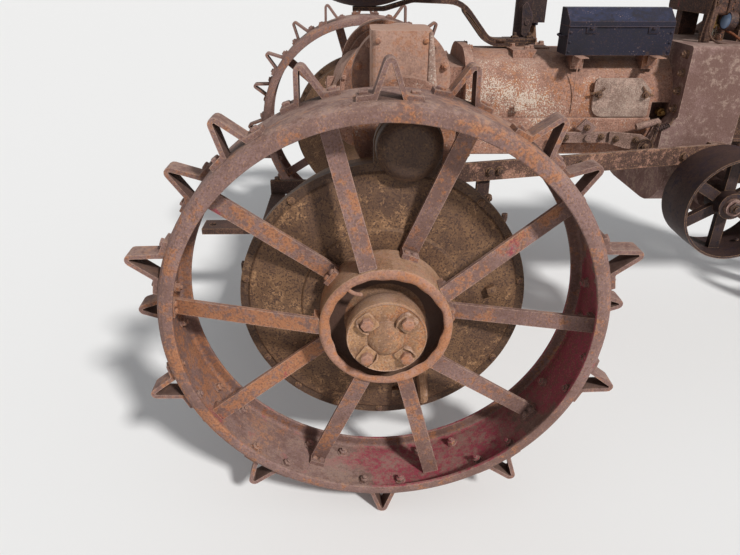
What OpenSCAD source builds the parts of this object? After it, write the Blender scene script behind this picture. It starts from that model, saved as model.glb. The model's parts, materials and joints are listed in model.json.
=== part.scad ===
// Row-crop tricycle tractor on steel wheels, with gear drops beside the rear wheels.
// Millimetres. +X is forward, +Y is the left side, +Z is up, and the floor is at Z = 0.
// Stations along the tractor are counted forward from the rear axle.

/* [Rear wheels] */
// Radius of the rear rim over its tread
rear_rim_r = 508; // [490:1:530]
// Width of the rear rim
rear_rim_w = 190; // [180:1:210]
// Thickness of the rim plate
rim_t = 9; // [7:1:11]
// Depth of the rim's turned-in edges
rim_edge = 38; // [32:1:42]
// Radius at which the rim's edges are rolled
rim_roll_r = 26; // [20:1:28]
// Height of a lug above the rim
lug_h = 76; // [60:1:90]
// Width of the bar that a lug is bent from
lug_w = 46; // [36:1:56]
// Thickness of that bar
lug_t = 10; // [8:1:13]
// Distance between a lug's feet at the rim
lug_gap = 54; // [46:1:64]
// Length of a lug's foot along the rim
lug_foot = 38; // [32:1:46]
// Number of lugs in one of the two rows
lug_count = 10; // [8:1:12]
// Distance of a lug row from the rim's middle
lug_row = 48; // [40:1:56]
// Number of rear spokes
spoke_count = 10; // [8:2:12]
// Width of a rear spoke
spoke_w = 40; // [34:1:48]
// Thickness of a rear spoke
spoke_t = 12; // [9:1:15]
// How far the spokes are turned from the lugs, in degrees
spoke_turn = -2.7; // [-6:0.1:6]
// Radius of the ring that carries the spokes
ring_r = 152; // [144:1:158]
// Thickness of that ring
ring_t = 15; // [11:1:18]
// Radius of the hub's barrel
barrel_r = 78; // [70:1:84]
// Radius of the hub cap
cap_r = 90; // [84:1:98]
// Distance of the hub cap's face beyond the ring
cap_reach = 36; // [28:1:44]
// Radius of the rear axle shaft
shaft_r = 44; // [36:1:50]
// Distance between the rear wheels' middles
rear_tread = 1880; // [1840:1:1940]

/* [Gear drops and axle] */
// Radius of a gear drop's round housing
drop_r = 347; // [335:1:358]
// Depth of a gear drop, from flange to back
drop_depth = 125; // [110:1:140]
// Height of the upper axle over the wheel's centre
drop_rise = 385; // [378:1:388]
// Station of the upper axle
upper_x = 50; // [42:1:58]
// Radius of the pinion's boss
pinion_boss_r = 76; // [66:1:77]
// Radius of the axle tube
axle_tube_r = 88; // [78:1:96]
// Radius of the flange where the tube meets the gearbox
tube_flange_r = 158; // [145:1:168]
// Width of the brake housing along the tractor
brake_w = 138; // [126:1:150]
// Height of the brake housing above the upper axle
brake_h = 217; // [202:1:232]
// Radius of the brake drum behind it
brake_drum_r = 124; // [114:1:134]

/* [Transmission and frame] */
// Half the width of the gearbox
gearbox_half_w = 190; // [175:1:200]
// Height of the gearbox's bottom above the floor
gearbox_bottom = 742; // [725:1:760]
// Height of the gearbox's top above the floor
gearbox_top = 1062; // [1048:1:1075]
// Station where the gear section starts
gearbox_flange_x = 292; // [280:1:305]
// Station where the gearbox meets the clutch housing
gearbox_end_x = 967; // [958:1:976]
// Length of the clutch housing
clutch_l = 198; // [190:1:206]
// Height of the clutch housing's top above the floor
clutch_top = 1097; // [1085:1:1105]
// Radius of the dished seat
seat_r = 215; // [200:1:230]
// Station of the toolbox's rear end
toolbox_x = 598; // [590:1:606]
// Length of the toolbox
toolbox_l = 330; // [315:1:345]
// Thickness of the toolbox's sheet
toolbox_t = 3; // [2:0.5:4]
// Height of a side rail's bar
rail_h = 56; // [46:1:64]
// Thickness of a side rail's bar
rail_t = 14; // [10:1:18]
// Distance of the drawbar's end behind the rear axle
drawbar_reach = 640; // [625:1:670]
// Height of the drawbar above the floor
drawbar_z = 400; // [380:1:420]
// Distance of a drawbar arm from the tractor's middle
drawbar_arm_y = 420; // [400:1:440]
// Radius of the drawbar's pin hole
drawbar_hole_r = 13; // [10:0.5:16]

/* [Belt pulley] */
// Radius of the belt pulley
pulley_r = 164; // [150:1:176]
// Width of the belt pulley
pulley_w = 155; // [140:1:170]
// Station of the pulley's shaft
pulley_x = 1100; // [1090:1:1112]
// Height of the pulley's shaft above the floor
pulley_z = 654; // [640:1:670]

/* [Engine and front] */
// Length of the engine's cylinder block
block_l = 560; // [540:1:580]
// Width of the cylinder block
block_w = 230; // [210:1:250]
// Space for the fan, between the engine and the radiator
fan_space = 199; // [190:1:215]
// Distance of the front wheels' post ahead of the radiator's back
post_ahead = 235; // [225:1:250]
// Radius of the fan
fan_r = 178; // [165:1:182]
// Width of the radiator
radiator_w = 500; // [470:1:530]
// Width of the fuel tank and the hood
tank_w = 310; // [280:1:330]

/* [Front wheels and steering] */
// Radius of a front wheel over its tread
front_rim_r = 317; // [300:1:330]
// Width of a front rim
front_rim_w = 102; // [90:1:110]
// Height of the ridge round a front wheel
front_ridge = 20; // [16:1:25]
// Distance between the front wheels' middles
front_tread = 250; // [240:1:280]
// Lean of each front wheel, in degrees
camber = 4; // [0:0.5:6]
// Radius of the steering wheel
steer_wheel_r = 215; // [200:1:235]
// Radius of the steering shaft
steer_shaft_r = 12; // [10:0.5:15]

/* [Hidden] */
$fn = 48;
eps = 0.01;
fit_gap = 0.05;
seat_gap = 0.3;
running_gap = 6;

lug_tip_r = rear_rim_r + lug_h;
rear_z = lug_tip_r;
half_tread = rear_tread / 2;
front_tip_r = front_rim_r + front_ridge;
front_ridge_half_w = 6;
front_z = front_tip_r * cos(camber) + front_ridge_half_w * sin(camber);
upper_z = rear_z + drop_rise;

// Depths along the wheel's axle, outward from the rim's middle
ring_front = rear_rim_w / 2 - 20;
ring_back = ring_front - 105;
drop_boss_face = ring_back - running_gap;
drop_flange_face = drop_boss_face - 22;
drop_back = drop_flange_face - drop_depth;
drop_flange_t = 26;
pinion_boss_face = -12;

// Half widths and stations of the transmission
gearbox_rear_x = -140;
gearbox_rear_half_w = 230;
flange_half_w = 275;
gearbox_shoulder_r = 150;
gearbox_plate_top = gearbox_top + 6;
clutch_front_x = gearbox_end_x + clutch_l;
clutch_bottom = 570;
clutch_half_w = 255;

// Engine, radiator and tank
engine_x = clutch_front_x;
engine_front_x = engine_x + block_l;
radiator_x = engine_front_x + fan_space;
radiator_t = 90;
wheelbase = radiator_x + post_ahead;
rear_axle_x = -(wheelbase + front_tip_r - drawbar_reach) / 2;
block_bottom = 700;
block_top = 1075;
head_top = 1160;
crank_half_w = block_w / 2 + 20;
channel_in = crank_half_w + 10;
channel_w = 50;
channel_z = 700;
channel_h = 100;
channel_t = 10;
radiator_bottom = channel_z + channel_h + seat_gap;
radiator_top = 1290;
radiator_lip = 15;
tank_x = clutch_front_x - 105;
tank_l = 470;
tank_bottom = 1175;
tank_top = 1300;
hood_t = 4;
fan_x = radiator_x - 50;
fan_z = tank_bottom - 12 - fan_r;

// Belt pulley, rails, drawbar and toolbox
pulley_in = -327;
pulley_out = pulley_in - pulley_w;
rail_rear_x = 0;
rail_front_x = clutch_front_x - 35;
rail_rear_y = -540;
rail_slope = 0.226;
rail_z = 749;
drawbar_t = 22;
drawbar_end_x = -430;
toolbox_d = 90;
toolbox_h = 84;
hinge_r = 5;
spring_t = 12;
spring_top = gearbox_top + 152;
seat_drop = 26;
seat_bowl_r = 300;
seat_tilt = 6;
bracket_x = 452;
post_x = 516;
post_y = 58;

shaft_rear = [250, 0, 1460];
shaft_front = [wheelbase - 20, 0, 1330];
shaft_l = norm(shaft_front - shaft_rear);
worm_boss_l = 160;

RUST = [0.47, 0.29, 0.22];
DARK_RUST = [0.30, 0.20, 0.17];
ORANGE_RUST = [0.62, 0.36, 0.22];
OLD_RED = [0.50, 0.16, 0.15];
SOOT = [0.16, 0.13, 0.14];
BARE = [0.62, 0.58, 0.54];

function unit(v) = v / norm(v);

// An arc of n steps in place of the corner p between a and b.
function corner(a, p, b, r, n) =
    r <= 0 ? [p] :
    let (
        u = unit(a - p),
        v = unit(b - p),
        half = acos(max(-1, min(1, u * v))) / 2,
        c = p + unit(u + v) * r / sin(half),
        s = p + u * r / tan(half) - c,
        e = p + v * r / tan(half) - c,
        first = atan2(s.y, s.x),
        turn = atan2(e.y, e.x) - first,
        sweep = turn > 180 ? turn - 360 : turn < -180 ? turn + 360 : turn
    )
    [for (i = [0 : n]) c + r * [cos(first + sweep * i / n), sin(first + sweep * i / n)]];

// A closed outline from corners given as [x, y, radius].
function rounded(pts, n = 4) =
    let (k = len(pts))
    [for (i = [0 : k - 1])
        let (a = pts[(i + k - 1) % k], p = pts[i], b = pts[(i + 1) % k])
        each corner([a.x, a.y], [p.x, p.y], [b.x, b.y], p.z, n)];

// A rectangle from x0, y0 to x1, y1 with round corners.
function box_outline(x0, y0, x1, y1, r, n = 4) =
    rounded([[x0, y0, r], [x1, y0, r], [x1, y1, r], [x0, y1, r]], n);

// Moves children from stations to the part's own frame.
module at_stations() translate([rear_axle_x, 0, 0]) children();

// A rear wheel's own frame on the right side: local x forward, y up, z outward.
module wheel_frame() {
    at_stations() translate([0, -half_tread, rear_z]) rotate([90, 0, 0]) children();
}

// Right side as drawn, left side mirrored.
module on_side(left) {
    if (left) mirror([0, 1, 0]) children();
    else children();
}

// An extrusion across the tractor, from y0 to y1, of an outline in x and z.
module across(y0, y1) {
    translate([0, y1, 0]) rotate([90, 0, 0]) linear_extrude(y1 - y0) children();
}

// An extrusion along the tractor, from x0 to x1, of an outline in y and z.
module along(x0, x1) {
    translate([x0, 0, 0]) rotate([90, 0, 90]) linear_extrude(x1 - x0) children();
}

module tube_y(r, y0, y1) translate([0, y1, 0]) rotate([90, 0, 0]) cylinder(r = r, h = y1 - y0);

module tube_x(r, x0, x1) translate([x0, 0, 0]) rotate([0, 90, 0]) cylinder(r = r, h = x1 - x0);

// A round bar between two points.
module bar(a, b, r) {
    d = b - a;
    translate(a)
        rotate([0, acos(d.z / norm(d)), atan2(d.y, d.x)])
            cylinder(r = r, h = norm(d));
}

// Rear wheel

module rear_rim_body() {
    w = rear_rim_w / 2;
    inner = rear_rim_r - rim_edge;
    plate = rear_rim_r - rim_t;
    rotate_extrude($fn = 96)
        polygon(rounded([
            [inner, w, 3], [rear_rim_r, w, rim_roll_r], [rear_rim_r, -w, rim_roll_r], [inner, -w, 3],
            [inner, rim_t - w, 2], [plate, rim_t - w, 10], [plate, w - rim_t, 10], [inner, w - rim_t, 2]
        ], 4));
}

// A lug is one bar, bent round a small radius to a point with two feet.
function lug_outline() =
    let (
        bend = lug_t + 3,
        base = rear_rim_r - 4,
        foot_top = rear_rim_r + lug_t,
        centre = lug_tip_r - bend,
        shin = (lug_gap + lug_t) / 2,
        out = lug_gap / 2 + lug_foot,
        drop = rear_rim_r - sqrt(rear_rim_r * rear_rim_r - out * out),
        reach = [shin, centre - foot_top],
        lean = atan(reach.x / reach.y) - asin(bend / norm(reach)),
        outer_peak = centre + bend / sin(lean),
        inner_peak = centre + (bend - lug_t) / sin(lean),
        inner_x = (inner_peak - base) * tan(lean)
    )
    rounded([
        [-out, base - drop, 0], [-inner_x, base, 0], [0, inner_peak, bend - lug_t], [inner_x, base, 0],
        [out, base - drop, 0], [out, foot_top - drop, 2], [shin, foot_top, 5],
        [0, outer_peak, bend], [-shin, foot_top, 5], [-out, foot_top - drop, 2]
    ], 5);

module lug() rotate(-90) linear_extrude(lug_w, center = true) polygon(lug_outline());

module lugs() {
    step = 360 / lug_count;
    for (row = [0, 1], i = [0 : lug_count - 1])
        rotate(90 + step * (i + row / 2))
            translate([0, 0, row == 0 ? lug_row : -lug_row]) lug();
}

module rear_rim() {
    rear_rim_body();
    lugs();
}

// A spoke is a flat bar with a foot at each end, drawn in radius and depth.
module spoke(hub_z, rim_z) {
    foot = 30;
    t = spoke_t;
    inner = ring_r + fit_gap;
    outer = sqrt(pow(rear_rim_r - rim_t, 2) - pow(spoke_w / 2, 2)) - seat_gap;
    s = sign(hub_z - rim_z);
    rotate([90, 0, 0])
        linear_extrude(spoke_w, center = true)
            polygon([
                [inner, hub_z + s * t], [inner, hub_z - s * foot], [inner + t, hub_z - s * foot],
                [inner + t, hub_z], [outer, rim_z], [outer, rim_z + s * foot],
                [outer - t, rim_z + s * foot], [outer - t, rim_z + s * t]
            ]);
}

module rear_spokes() {
    step = 360 / spoke_count;
    front_z = ring_front - 16;
    back_z = ring_back + 13;
    rim_front_z = 34;
    rim_back_z = -12;
    for (i = [0 : spoke_count - 1])
        rotate(step * i + spoke_turn)
            if (i % 2 == 1) spoke(front_z, rim_back_z);
            else spoke(back_z, rim_front_z);
}

module rear_hub() {
    web_t = 18;
    web_z = (ring_front + ring_back) / 2 - web_t / 2;
    cap_face = ring_front + cap_reach;
    cap_t = 46;
    dome_r = 52;
    dome_h = 24;
    shaft_end = drop_boss_face - 40;
    rotate_extrude($fn = 96)
        polygon(rounded([
            [0, cap_face, 0], [cap_r, cap_face, 4], [cap_r, cap_face - cap_t, 3],
            [barrel_r, cap_face - cap_t, 0], [barrel_r, web_z + web_t, 10],
            [ring_r - ring_t, web_z + web_t, 10], [ring_r - ring_t, ring_front, 3],
            [ring_r, ring_front, 3], [ring_r, ring_back, 3], [ring_r - ring_t, ring_back, 3],
            [ring_r - ring_t, web_z, 6], [barrel_r, web_z, 6], [barrel_r, ring_back + 8, 3],
            [shaft_r, ring_back + 8, 0], [shaft_r, shaft_end, 0], [0, shaft_end, 0]
        ], 3));
    translate([0, 0, cap_face - eps]) intersection() {
        translate([0, 0, dome_h - dome_r]) sphere(r = dome_r);
        cylinder(r = dome_r + 8, h = dome_h + 8);
    }
    for (i = [0 : 3]) rotate(45 + 90 * i) translate([cap_r - 27, 0, cap_face - eps]) {
        translate([-16, -15, 0]) cube([30, 30, 6]);
        cylinder(r = 12, h = 20);
    }
}

// Gear drops and the upper axle

module drop_outline(inset) {
    boss_r = pinion_boss_r - inset;
    foot = 60;
    base_y = drop_r * 0.70;
    circle(r = drop_r - inset);
    translate([upper_x, drop_rise]) circle(r = boss_r);
    polygon(rounded([
        [upper_x - boss_r, drop_rise, 0], [upper_x - boss_r, base_y + foot, 55],
        [upper_x - boss_r - foot, base_y, 0], [upper_x + boss_r + foot, base_y, 0],
        [upper_x + boss_r, base_y + foot, 55], [upper_x + boss_r, drop_rise, 0]
    ], 4));
}

module drop_housing() {
    shell_inset = 22;
    dome_edge = drop_r - 18;
    step_r = ring_r + 43;
    bulge = drop_boss_face - drop_flange_face;
    boss_h = pinion_boss_face - drop_flange_face;
    wheel_frame() difference() {
        union() {
            translate([0, 0, drop_back]) linear_extrude(drop_depth - drop_flange_t + eps)
                drop_outline(shell_inset);
            translate([0, 0, drop_flange_face - drop_flange_t]) linear_extrude(drop_flange_t)
                drop_outline(0);
            translate([0, 0, drop_flange_face - eps]) rotate_extrude($fn = 96)
                polygon(rounded([
                    [0, 0, 0], [dome_edge, 0, 0], [dome_edge - 6, 4, 0], [dome_edge - 60, bulge * 0.5, 90],
                    [step_r + 5, bulge * 0.72, 0], [step_r, bulge, 5], [0, bulge, 0]
                ], 4));
            translate([upper_x, drop_rise, drop_flange_face - eps]) rotate_extrude()
                polygon(rounded([
                    [0, 0, 0], [pinion_boss_r - 2, 0, 0], [pinion_boss_r - 4, boss_h - 16, 12],
                    [pinion_boss_r - 22, boss_h, 26], [0, boss_h, 0]
                ], 4));
        }
        translate([0, 0, drop_boss_face - 60]) cylinder(r = shaft_r + fit_gap, h = 80);
    }
}

module axle_tube() {
    at_stations() translate([upper_x, 0, upper_z]) {
        tube_y(axle_tube_r, -half_tread - drop_back, -flange_half_w - 20);
        tube_y(tube_flange_r, -flange_half_w - 26, -flange_half_w);
        translate([0, -flange_half_w - 25, 0]) rotate([90, 0, 0])
            cylinder(r1 = tube_flange_r - 14, r2 = axle_tube_r, h = 70);
        tube_y(axle_tube_r + 34, -half_tread - drop_back, -half_tread - drop_back + 22);
    }
}

module brake_housing() {
    y0 = -half_tread - drop_back + 30;
    depth = 150;
    corner_r = 16;
    back = 8;
    drum = [2, 94];
    drum_y = depth - 23;
    at_stations() translate([upper_x, y0, upper_z]) difference() {
        union() {
            linear_extrude(brake_h)
                polygon(box_outline(-brake_w / 2 - back, 0, brake_w / 2 - back, depth, corner_r));
            translate([drum.x, 0, drum.y]) {
                tube_y(brake_drum_r, drum_y, drum_y + 50);
                tube_y(brake_drum_r - 20, drum_y + 49, drum_y + 62);
                tube_y(40, drum_y + 61, drum_y + 90);
            }
        }
        tube_y(axle_tube_r + seat_gap, -50, depth + 100);
    }
}

// Transmission, clutch housing and what they carry

// The gearbox seen from the front: low corners tight, shoulders wide.
function gearbox_section(grow) =
    let (w = gearbox_half_w + grow, low = gearbox_bottom, high = gearbox_top + grow)
    rounded([[-w, low, 30], [w, low, 30], [w, high, gearbox_shoulder_r], [-w, high, gearbox_shoulder_r]], 8);

module gearbox() {
    barrel_front_x = upper_x + 130;
    neck_half_w = 150;
    flange_t = 27;
    flange_grow = 14;
    pocket = [905, gearbox_bottom + 118];
    saddle_h = 45;
    w = gearbox_half_w;
    at_stations() difference() {
        union() {
            across(-gearbox_rear_half_w, gearbox_rear_half_w)
                polygon(rounded([
                    [gearbox_rear_x, gearbox_bottom + 40, 110], [barrel_front_x, gearbox_bottom + 40, 70],
                    [barrel_front_x, gearbox_top - 25, 110], [gearbox_rear_x, gearbox_top - 25, 120]
                ], 6));
            for (x = [toolbox_x + 30, toolbox_x + toolbox_l - 70])
                translate([x, -w + 25, gearbox_top - saddle_h]) cube([40, toolbox_d - 35, saddle_h]);
            across(-neck_half_w, neck_half_w)
                polygon(box_outline(barrel_front_x - 90, gearbox_bottom + 60, gearbox_flange_x + 2,
                    gearbox_top - 40, 0));
            for (s = [0, 1]) mirror([0, s, 0]) translate([upper_x, 0, upper_z]) {
                tube_y(tube_flange_r, -flange_half_w, -flange_half_w + 30);
                tube_y(tube_flange_r - 22, -flange_half_w + 29, -gearbox_rear_half_w + 5);
            }
            along(gearbox_flange_x, gearbox_flange_x + flange_t)
                polygon(gearbox_section(flange_grow));
            along(gearbox_flange_x + flange_t - 1, gearbox_end_x)
                polygon(gearbox_section(0));
            along(gearbox_flange_x + flange_t - 1, pocket.x + 15)
                polygon(box_outline(-w - 11, gearbox_bottom + 8, w + 11, gearbox_bottom + 128, 6));
            across(-112, 0)
                polygon([[bracket_x + 6, gearbox_top - 70], [bracket_x + 42, gearbox_top - 70],
                    [bracket_x + 78, gearbox_plate_top], [bracket_x, gearbox_plate_top]]);
            along(bracket_x - 2, toolbox_x - 6)
                polygon(box_outline(-40, gearbox_top - 50, 142, gearbox_plate_top, 0));
        }
        translate([pocket.x, -w - 20, pocket.y]) cube([57, 65, 58]);
    }
}

module hand_hole_cover() {
    rear = 706;
    front = 892;
    low = gearbox_bottom + 132;
    high = low + 120;
    cut = 38;
    at_stations() {
        across(-gearbox_half_w - 9, -gearbox_half_w)
            polygon(rounded([
                [rear, low, 34], [front, low, 8], [front, high - cut, 6],
                [front - cut, high, 8], [rear, high, 14]
            ], 4));
        for (x = [rear + 15, front - 19]) translate([x, -gearbox_half_w, low + 70]) tube_y(6, -24, -8);
    }
}

module shift_tower() {
    at_stations() translate([562, 112, gearbox_plate_top]) {
        cylinder(r1 = 27, r2 = 16, h = 60);
        translate([0, 0, 58]) sphere(r = 18);
        bar([0, 0, 60], [-95, 55, 300], 8);
        translate([-95, 55, 305]) sphere(r = 20);
    }
}

module clutch_housing() {
    w = clutch_half_w;
    lump_x = gearbox_end_x - 42;
    at_stations() {
        along(gearbox_end_x, clutch_front_x)
            polygon(rounded([
                [-w, clutch_bottom, 130], [w, clutch_bottom, 130], [w, clutch_top, 12], [-w, clutch_top, 12]
            ], 6));
        for (s = [0, 1]) mirror([0, s, 0])
            across(-w, -gearbox_half_w - seat_gap)
                polygon([[lump_x, 768], [lump_x, 838], [gearbox_end_x + 1, 885],
                    [gearbox_end_x + 1, 700], [lump_x + 20, 700]]);
    }
}

module seat_spring() {
    t = spring_t;
    low = gearbox_plate_top + seat_gap;
    high = spring_top;
    at_stations() {
        across(-27, 27)
            polygon(rounded([
                [546, low + t, 0], [391, low + t, 64], [292, high - t - 6, 110], [130, high - t, 60],
                [40, high - t - seat_drop, 60], [-65, high - t - seat_drop, 0],
                [-65, high - seat_drop, 0], [36, high - seat_drop, 60], [128, high, 60],
                [290, high + 4, 110], [395, low + 2 * t, 52], [546, low + 2 * t, 0]
            ], 5));
        across(-26, 26)
            polygon(rounded([
                [532, low, 0], [386, low, 76], [300, high - 42, 0], [296, high - 30, 0],
                [389, low + t + 1, 64], [532, low + t + 1, 0]
            ], 5));
    }
}

module seat() {
    t = 5;
    at_stations() translate([-25, 0, spring_top - seat_drop + seat_gap + seat_bowl_r])
        rotate([0, seat_tilt, 0]) difference() {
            intersection() {
                sphere(r = seat_bowl_r, $fn = 64);
                translate([0, 0, -10 - seat_bowl_r])
                    linear_extrude(120) scale([1, 1.12]) circle(r = seat_r, $fn = 64);
            }
            sphere(r = seat_bowl_r - t, $fn = 64);
            for (i = [0 : 11]) rotate(30 * i + 15)
                translate([seat_r * 0.80, 0, -20 - seat_bowl_r]) cylinder(r = 9, h = 200);
        }
}

module toolbox_shell() {
    at_stations() translate([toolbox_x, -gearbox_half_w, gearbox_top]) children();
}

module toolbox() {
    t = toolbox_t;
    toolbox_shell() difference() {
        cube([toolbox_l, toolbox_d, toolbox_h]);
        translate([t, t, t]) cube([toolbox_l - 2 * t, toolbox_d - 2 * t, toolbox_h]);
    }
}

module lid_profile(inset) {
    high = 50 - inset;
    polygon([[inset, 0], [inset, 14], [48 + inset / 3, high], [toolbox_d - inset, high],
        [toolbox_d - inset, 0]]);
}

module toolbox_lid() {
    toolbox_shell() translate([0, 0, toolbox_h + seat_gap]) {
        difference() {
            rotate([90, 0, 90]) linear_extrude(toolbox_l) lid_profile(0);
            translate([toolbox_t, 0, -eps]) rotate([90, 0, 90])
                linear_extrude(toolbox_l - 2 * toolbox_t) lid_profile(toolbox_t);
        }
        for (x = [45, toolbox_l - 85])
            translate([0, toolbox_d + hinge_r - 1, hinge_r]) tube_x(hinge_r, x, x + 40);
    }
}

function rail_y(x) = rail_rear_y + (x - rail_rear_x) * rail_slope;

module side_rail() {
    hanger_half_w = 30;
    foot_x = rail_front_x - 45;
    translate([0, 0, rail_z]) linear_extrude(rail_h)
        polygon([
            [rail_rear_x, rail_y(rail_rear_x)], [rail_front_x, rail_y(rail_front_x)],
            [rail_front_x, -clutch_half_w], [foot_x, -clutch_half_w],
            [foot_x, rail_y(foot_x) + rail_t], [rail_rear_x, rail_y(rail_rear_x) + rail_t]
        ]);
    translate([upper_x - hanger_half_w, rail_y(upper_x), rail_z + rail_h / 2])
        cube([2 * hanger_half_w, rail_t, upper_z - axle_tube_r - seat_gap - rail_z - rail_h / 2]);
}

module side_rails() {
    at_stations() for (s = [0, 1]) mirror([0, s, 0]) side_rail();
}

module frame_channels() {
    l = wheelbase - clutch_front_x - 10;
    at_stations() for (s = [0, 1]) mirror([0, s, 0])
        translate([clutch_front_x, channel_in, channel_z]) difference() {
            cube([l, channel_w, channel_h]);
            translate([-1, channel_t, channel_t]) cube([l + 2, channel_w, channel_h - 2 * channel_t]);
        }
}

module drawbar() {
    t = drawbar_t;
    y = drawbar_arm_y;
    z = drawbar_z;
    bar_w = 60;
    tongue_half_w = 45;
    hanger_t = 16;
    front_x = upper_x + 30;
    at_stations() {
        for (s = [0, 1]) mirror([0, s, 0]) {
            translate([drawbar_end_x, -y, z]) cube([front_x - drawbar_end_x, t, bar_w]);
            translate([upper_x - 30, -y + t + seat_gap, z])
                cube([bar_w, hanger_t, upper_z - axle_tube_r - seat_gap - z]);
        }
        for (x = [drawbar_end_x, front_x - bar_w - 60])
            translate([x, -y, z - t - seat_gap]) cube([bar_w, 2 * y, t]);
        difference() {
            translate([-drawbar_reach, -tongue_half_w, z])
                cube([drawbar_reach + front_x - 60, 2 * tongue_half_w, t]);
            translate([-drawbar_reach + 35, 0, z - 10]) cylinder(r = drawbar_hole_r, h = t + 20);
        }
    }
}

module linkage() {
    y = -gearbox_half_w - 45;
    plate_t = 10;
    pivot = [868, 797];
    at_stations() {
        across(y - plate_t, y) polygon(box_outline(590, 801, 770, 834, 3));
        across(y - 2 * plate_t, y - plate_t)
            polygon(rounded([
                [757, 838, 3], [864, 828, 6], [909, 803, 8], [904, 774, 6], [813, 785, 8], [759, 800, 4]
            ], 2));
        across(y - plate_t, y + 2)
            polygon([[652, 848], [679, 877], [716, 850], [690, 822]]);
        across(y - plate_t, y + 2)
            polygon(rounded([[876, 790, 2], [894, 786, 6], [925, 868, 8], [908, 880, 6]], 2));
        translate([pivot.x, 0, pivot.y]) tube_y(21, y - 40, -gearbox_half_w - 11);
        translate([690, 0, 817]) tube_y(10, y - 18, -gearbox_half_w - 11);
        bar([846, y - 5, 849], [915, y - 5, 868], 11);
    }
}

module hanger_bracket() {
    at_stations() translate([rail_rear_x, rail_y(rail_rear_x), 0]) rotate([0, 0, atan(rail_slope)])
        translate([310, rail_t, 0]) across(0, 12)
            polygon(rounded([[0, 660, 6], [40, 660, 6], [40, 800, 2], [0, 800, 2]], 2));
}

module pulley_housing() {
    at_stations() translate([pulley_x, 0, pulley_z]) {
        tube_y(78, -clutch_half_w - 40, -clutch_half_w);
        tube_y(50, pulley_in - 6, -clutch_half_w - 39);
        tube_y(26, pulley_in - pulley_w + 20, pulley_in - 5);
    }
}

module belt_pulley() {
    at_stations() translate([pulley_x, pulley_out, pulley_z]) rotate([90, 0, 0]) difference() {
        union() {
            rotate_extrude($fn = 96)
                polygon([[pulley_r - 9, 0], [pulley_r - 9, -pulley_w], [pulley_r - 2, -pulley_w],
                    [pulley_r, -pulley_w / 2], [pulley_r - 2, 0]]);
            translate([0, 0, -pulley_w / 2 - 45]) cylinder(r = 42, h = 90);
            for (i = [0 : 5]) rotate(60 * i + 30)
                translate([40, -17, -pulley_w / 2 - 10]) cube([pulley_r - 46, 34, 20]);
        }
        translate([0, 0, -pulley_w - 5]) cylinder(r = 26 + fit_gap, h = pulley_w + 10);
    }
}

// Engine

module engine_block() {
    x0 = engine_x;
    x1 = engine_front_x;
    half = block_w / 2;
    pan_x1 = x1 - 40;
    at_stations() {
        across(-half, half) polygon(box_outline(x0, block_bottom + 150, x1, block_top, 0));
        across(-crank_half_w, crank_half_w)
            polygon(box_outline(x0, block_bottom, x1, block_bottom + 210, 0));
        across(-half + 12, half - 12)
            polygon(rounded([
                [x0 + 10, block_bottom + 5, 0], [x0 + 10, block_bottom - 90, 30],
                [pan_x1, block_bottom - 90, 30], [pan_x1, block_bottom + 5, 0]
            ]));
        across(-half - 8, half + 8)
            polygon(box_outline(x0 + 6, block_top - 5, x1 - 6, block_top + 55, 0));
        across(-70, 70)
            polygon(rounded([
                [x0 + 25, block_top + 50, 0], [x1 - 25, block_top + 50, 0],
                [x1 - 25, head_top, 22], [x0 + 25, head_top, 22]
            ]));
        for (x = [x0 + 40, x0 + 300], s = [0, 1]) mirror([0, s, 0])
            across(-crank_half_w - 10, -crank_half_w + 1)
                polygon(box_outline(x, block_bottom + 35, x + 220, block_bottom + 175, 40));
        along(x1 - 1, x1 + 45)
            polygon(rounded([
                [-half + 20, block_bottom + 20, 40], [half - 20, block_bottom + 20, 40],
                [half - 40, fan_z + 50, 40], [-half + 40, fan_z + 50, 40]
            ], 4));
        translate([0, 0, fan_z]) tube_x(36, x1 + 40, fan_x - 70 - seat_gap);
        translate([0, 0, block_bottom + 95]) tube_x(85, x1 + 44, x1 + 90);
    }
}

module manifold() {
    y = -block_w / 2 - 8;
    z = block_top + 22;
    run_y = y - 66;
    ports = [for (i = [0 : 3]) engine_x + 70 + 140 * i];
    carb = [engine_x + 300, run_y, block_top - 165];
    at_stations() {
        for (x = ports) {
            translate([x, 0, z]) tube_y(24, run_y + 29, y);
            translate([x, 0, z]) tube_y(34, y - 14, y);
            translate([x, 0, z]) tube_y(36, run_y - 34, run_y + 30);
        }
        translate([0, run_y, z]) tube_x(30, ports[0], ports[3]);
        translate([carb.x, carb.y, carb.z + 60]) cylinder(r = 24, h = z - carb.z - 60);
        translate([carb.x, carb.y, carb.z + 52]) cylinder(r = 38, h = 12);
        translate(carb) cylinder(r = 34, h = 54);
        translate([carb.x, carb.y, carb.z + 30]) tube_x(28, 0, 78);
        translate([carb.x, carb.y - 34, carb.z - 34]) cylinder(r = 30, h = 52);
        translate([engine_x + 180, run_y, z]) cylinder(r = 34, h = 50);
    }
}

module exhaust_pipe() {
    l = 420;
    at_stations() translate([engine_x + 180, -block_w / 2 - 74, block_top + 72]) difference() {
        cylinder(r = 30, h = l);
        translate([0, 0, 20]) cylinder(r = 26, h = l);
    }
}

module magneto() {
    at_stations() translate([engine_x + 330, crank_half_w + 10, channel_z + channel_h + 5]) {
        cube([150, 84, 100]);
        translate([75, 40, 99]) cylinder(r = 40, h = 34);
        translate([149, 40, 45]) rotate([0, 90, 0]) cylinder(r = 30, h = 40);
        for (i = [0 : 3])
            translate([51 + 16 * i, 40 + (i % 2 == 0 ? -18 : 18), 130]) cylinder(r = 7, h = 20);
    }
}

module air_cleaner() {
    at_stations() translate([engine_x + 110, channel_in + 76, channel_z + channel_h]) {
        cylinder(r = 70, h = 300);
        translate([0, 0, 299]) cylinder(r1 = 70, r2 = 38, h = 30);
        translate([0, 0, 328]) cylinder(r = 36, h = 60);
    }
}

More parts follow.
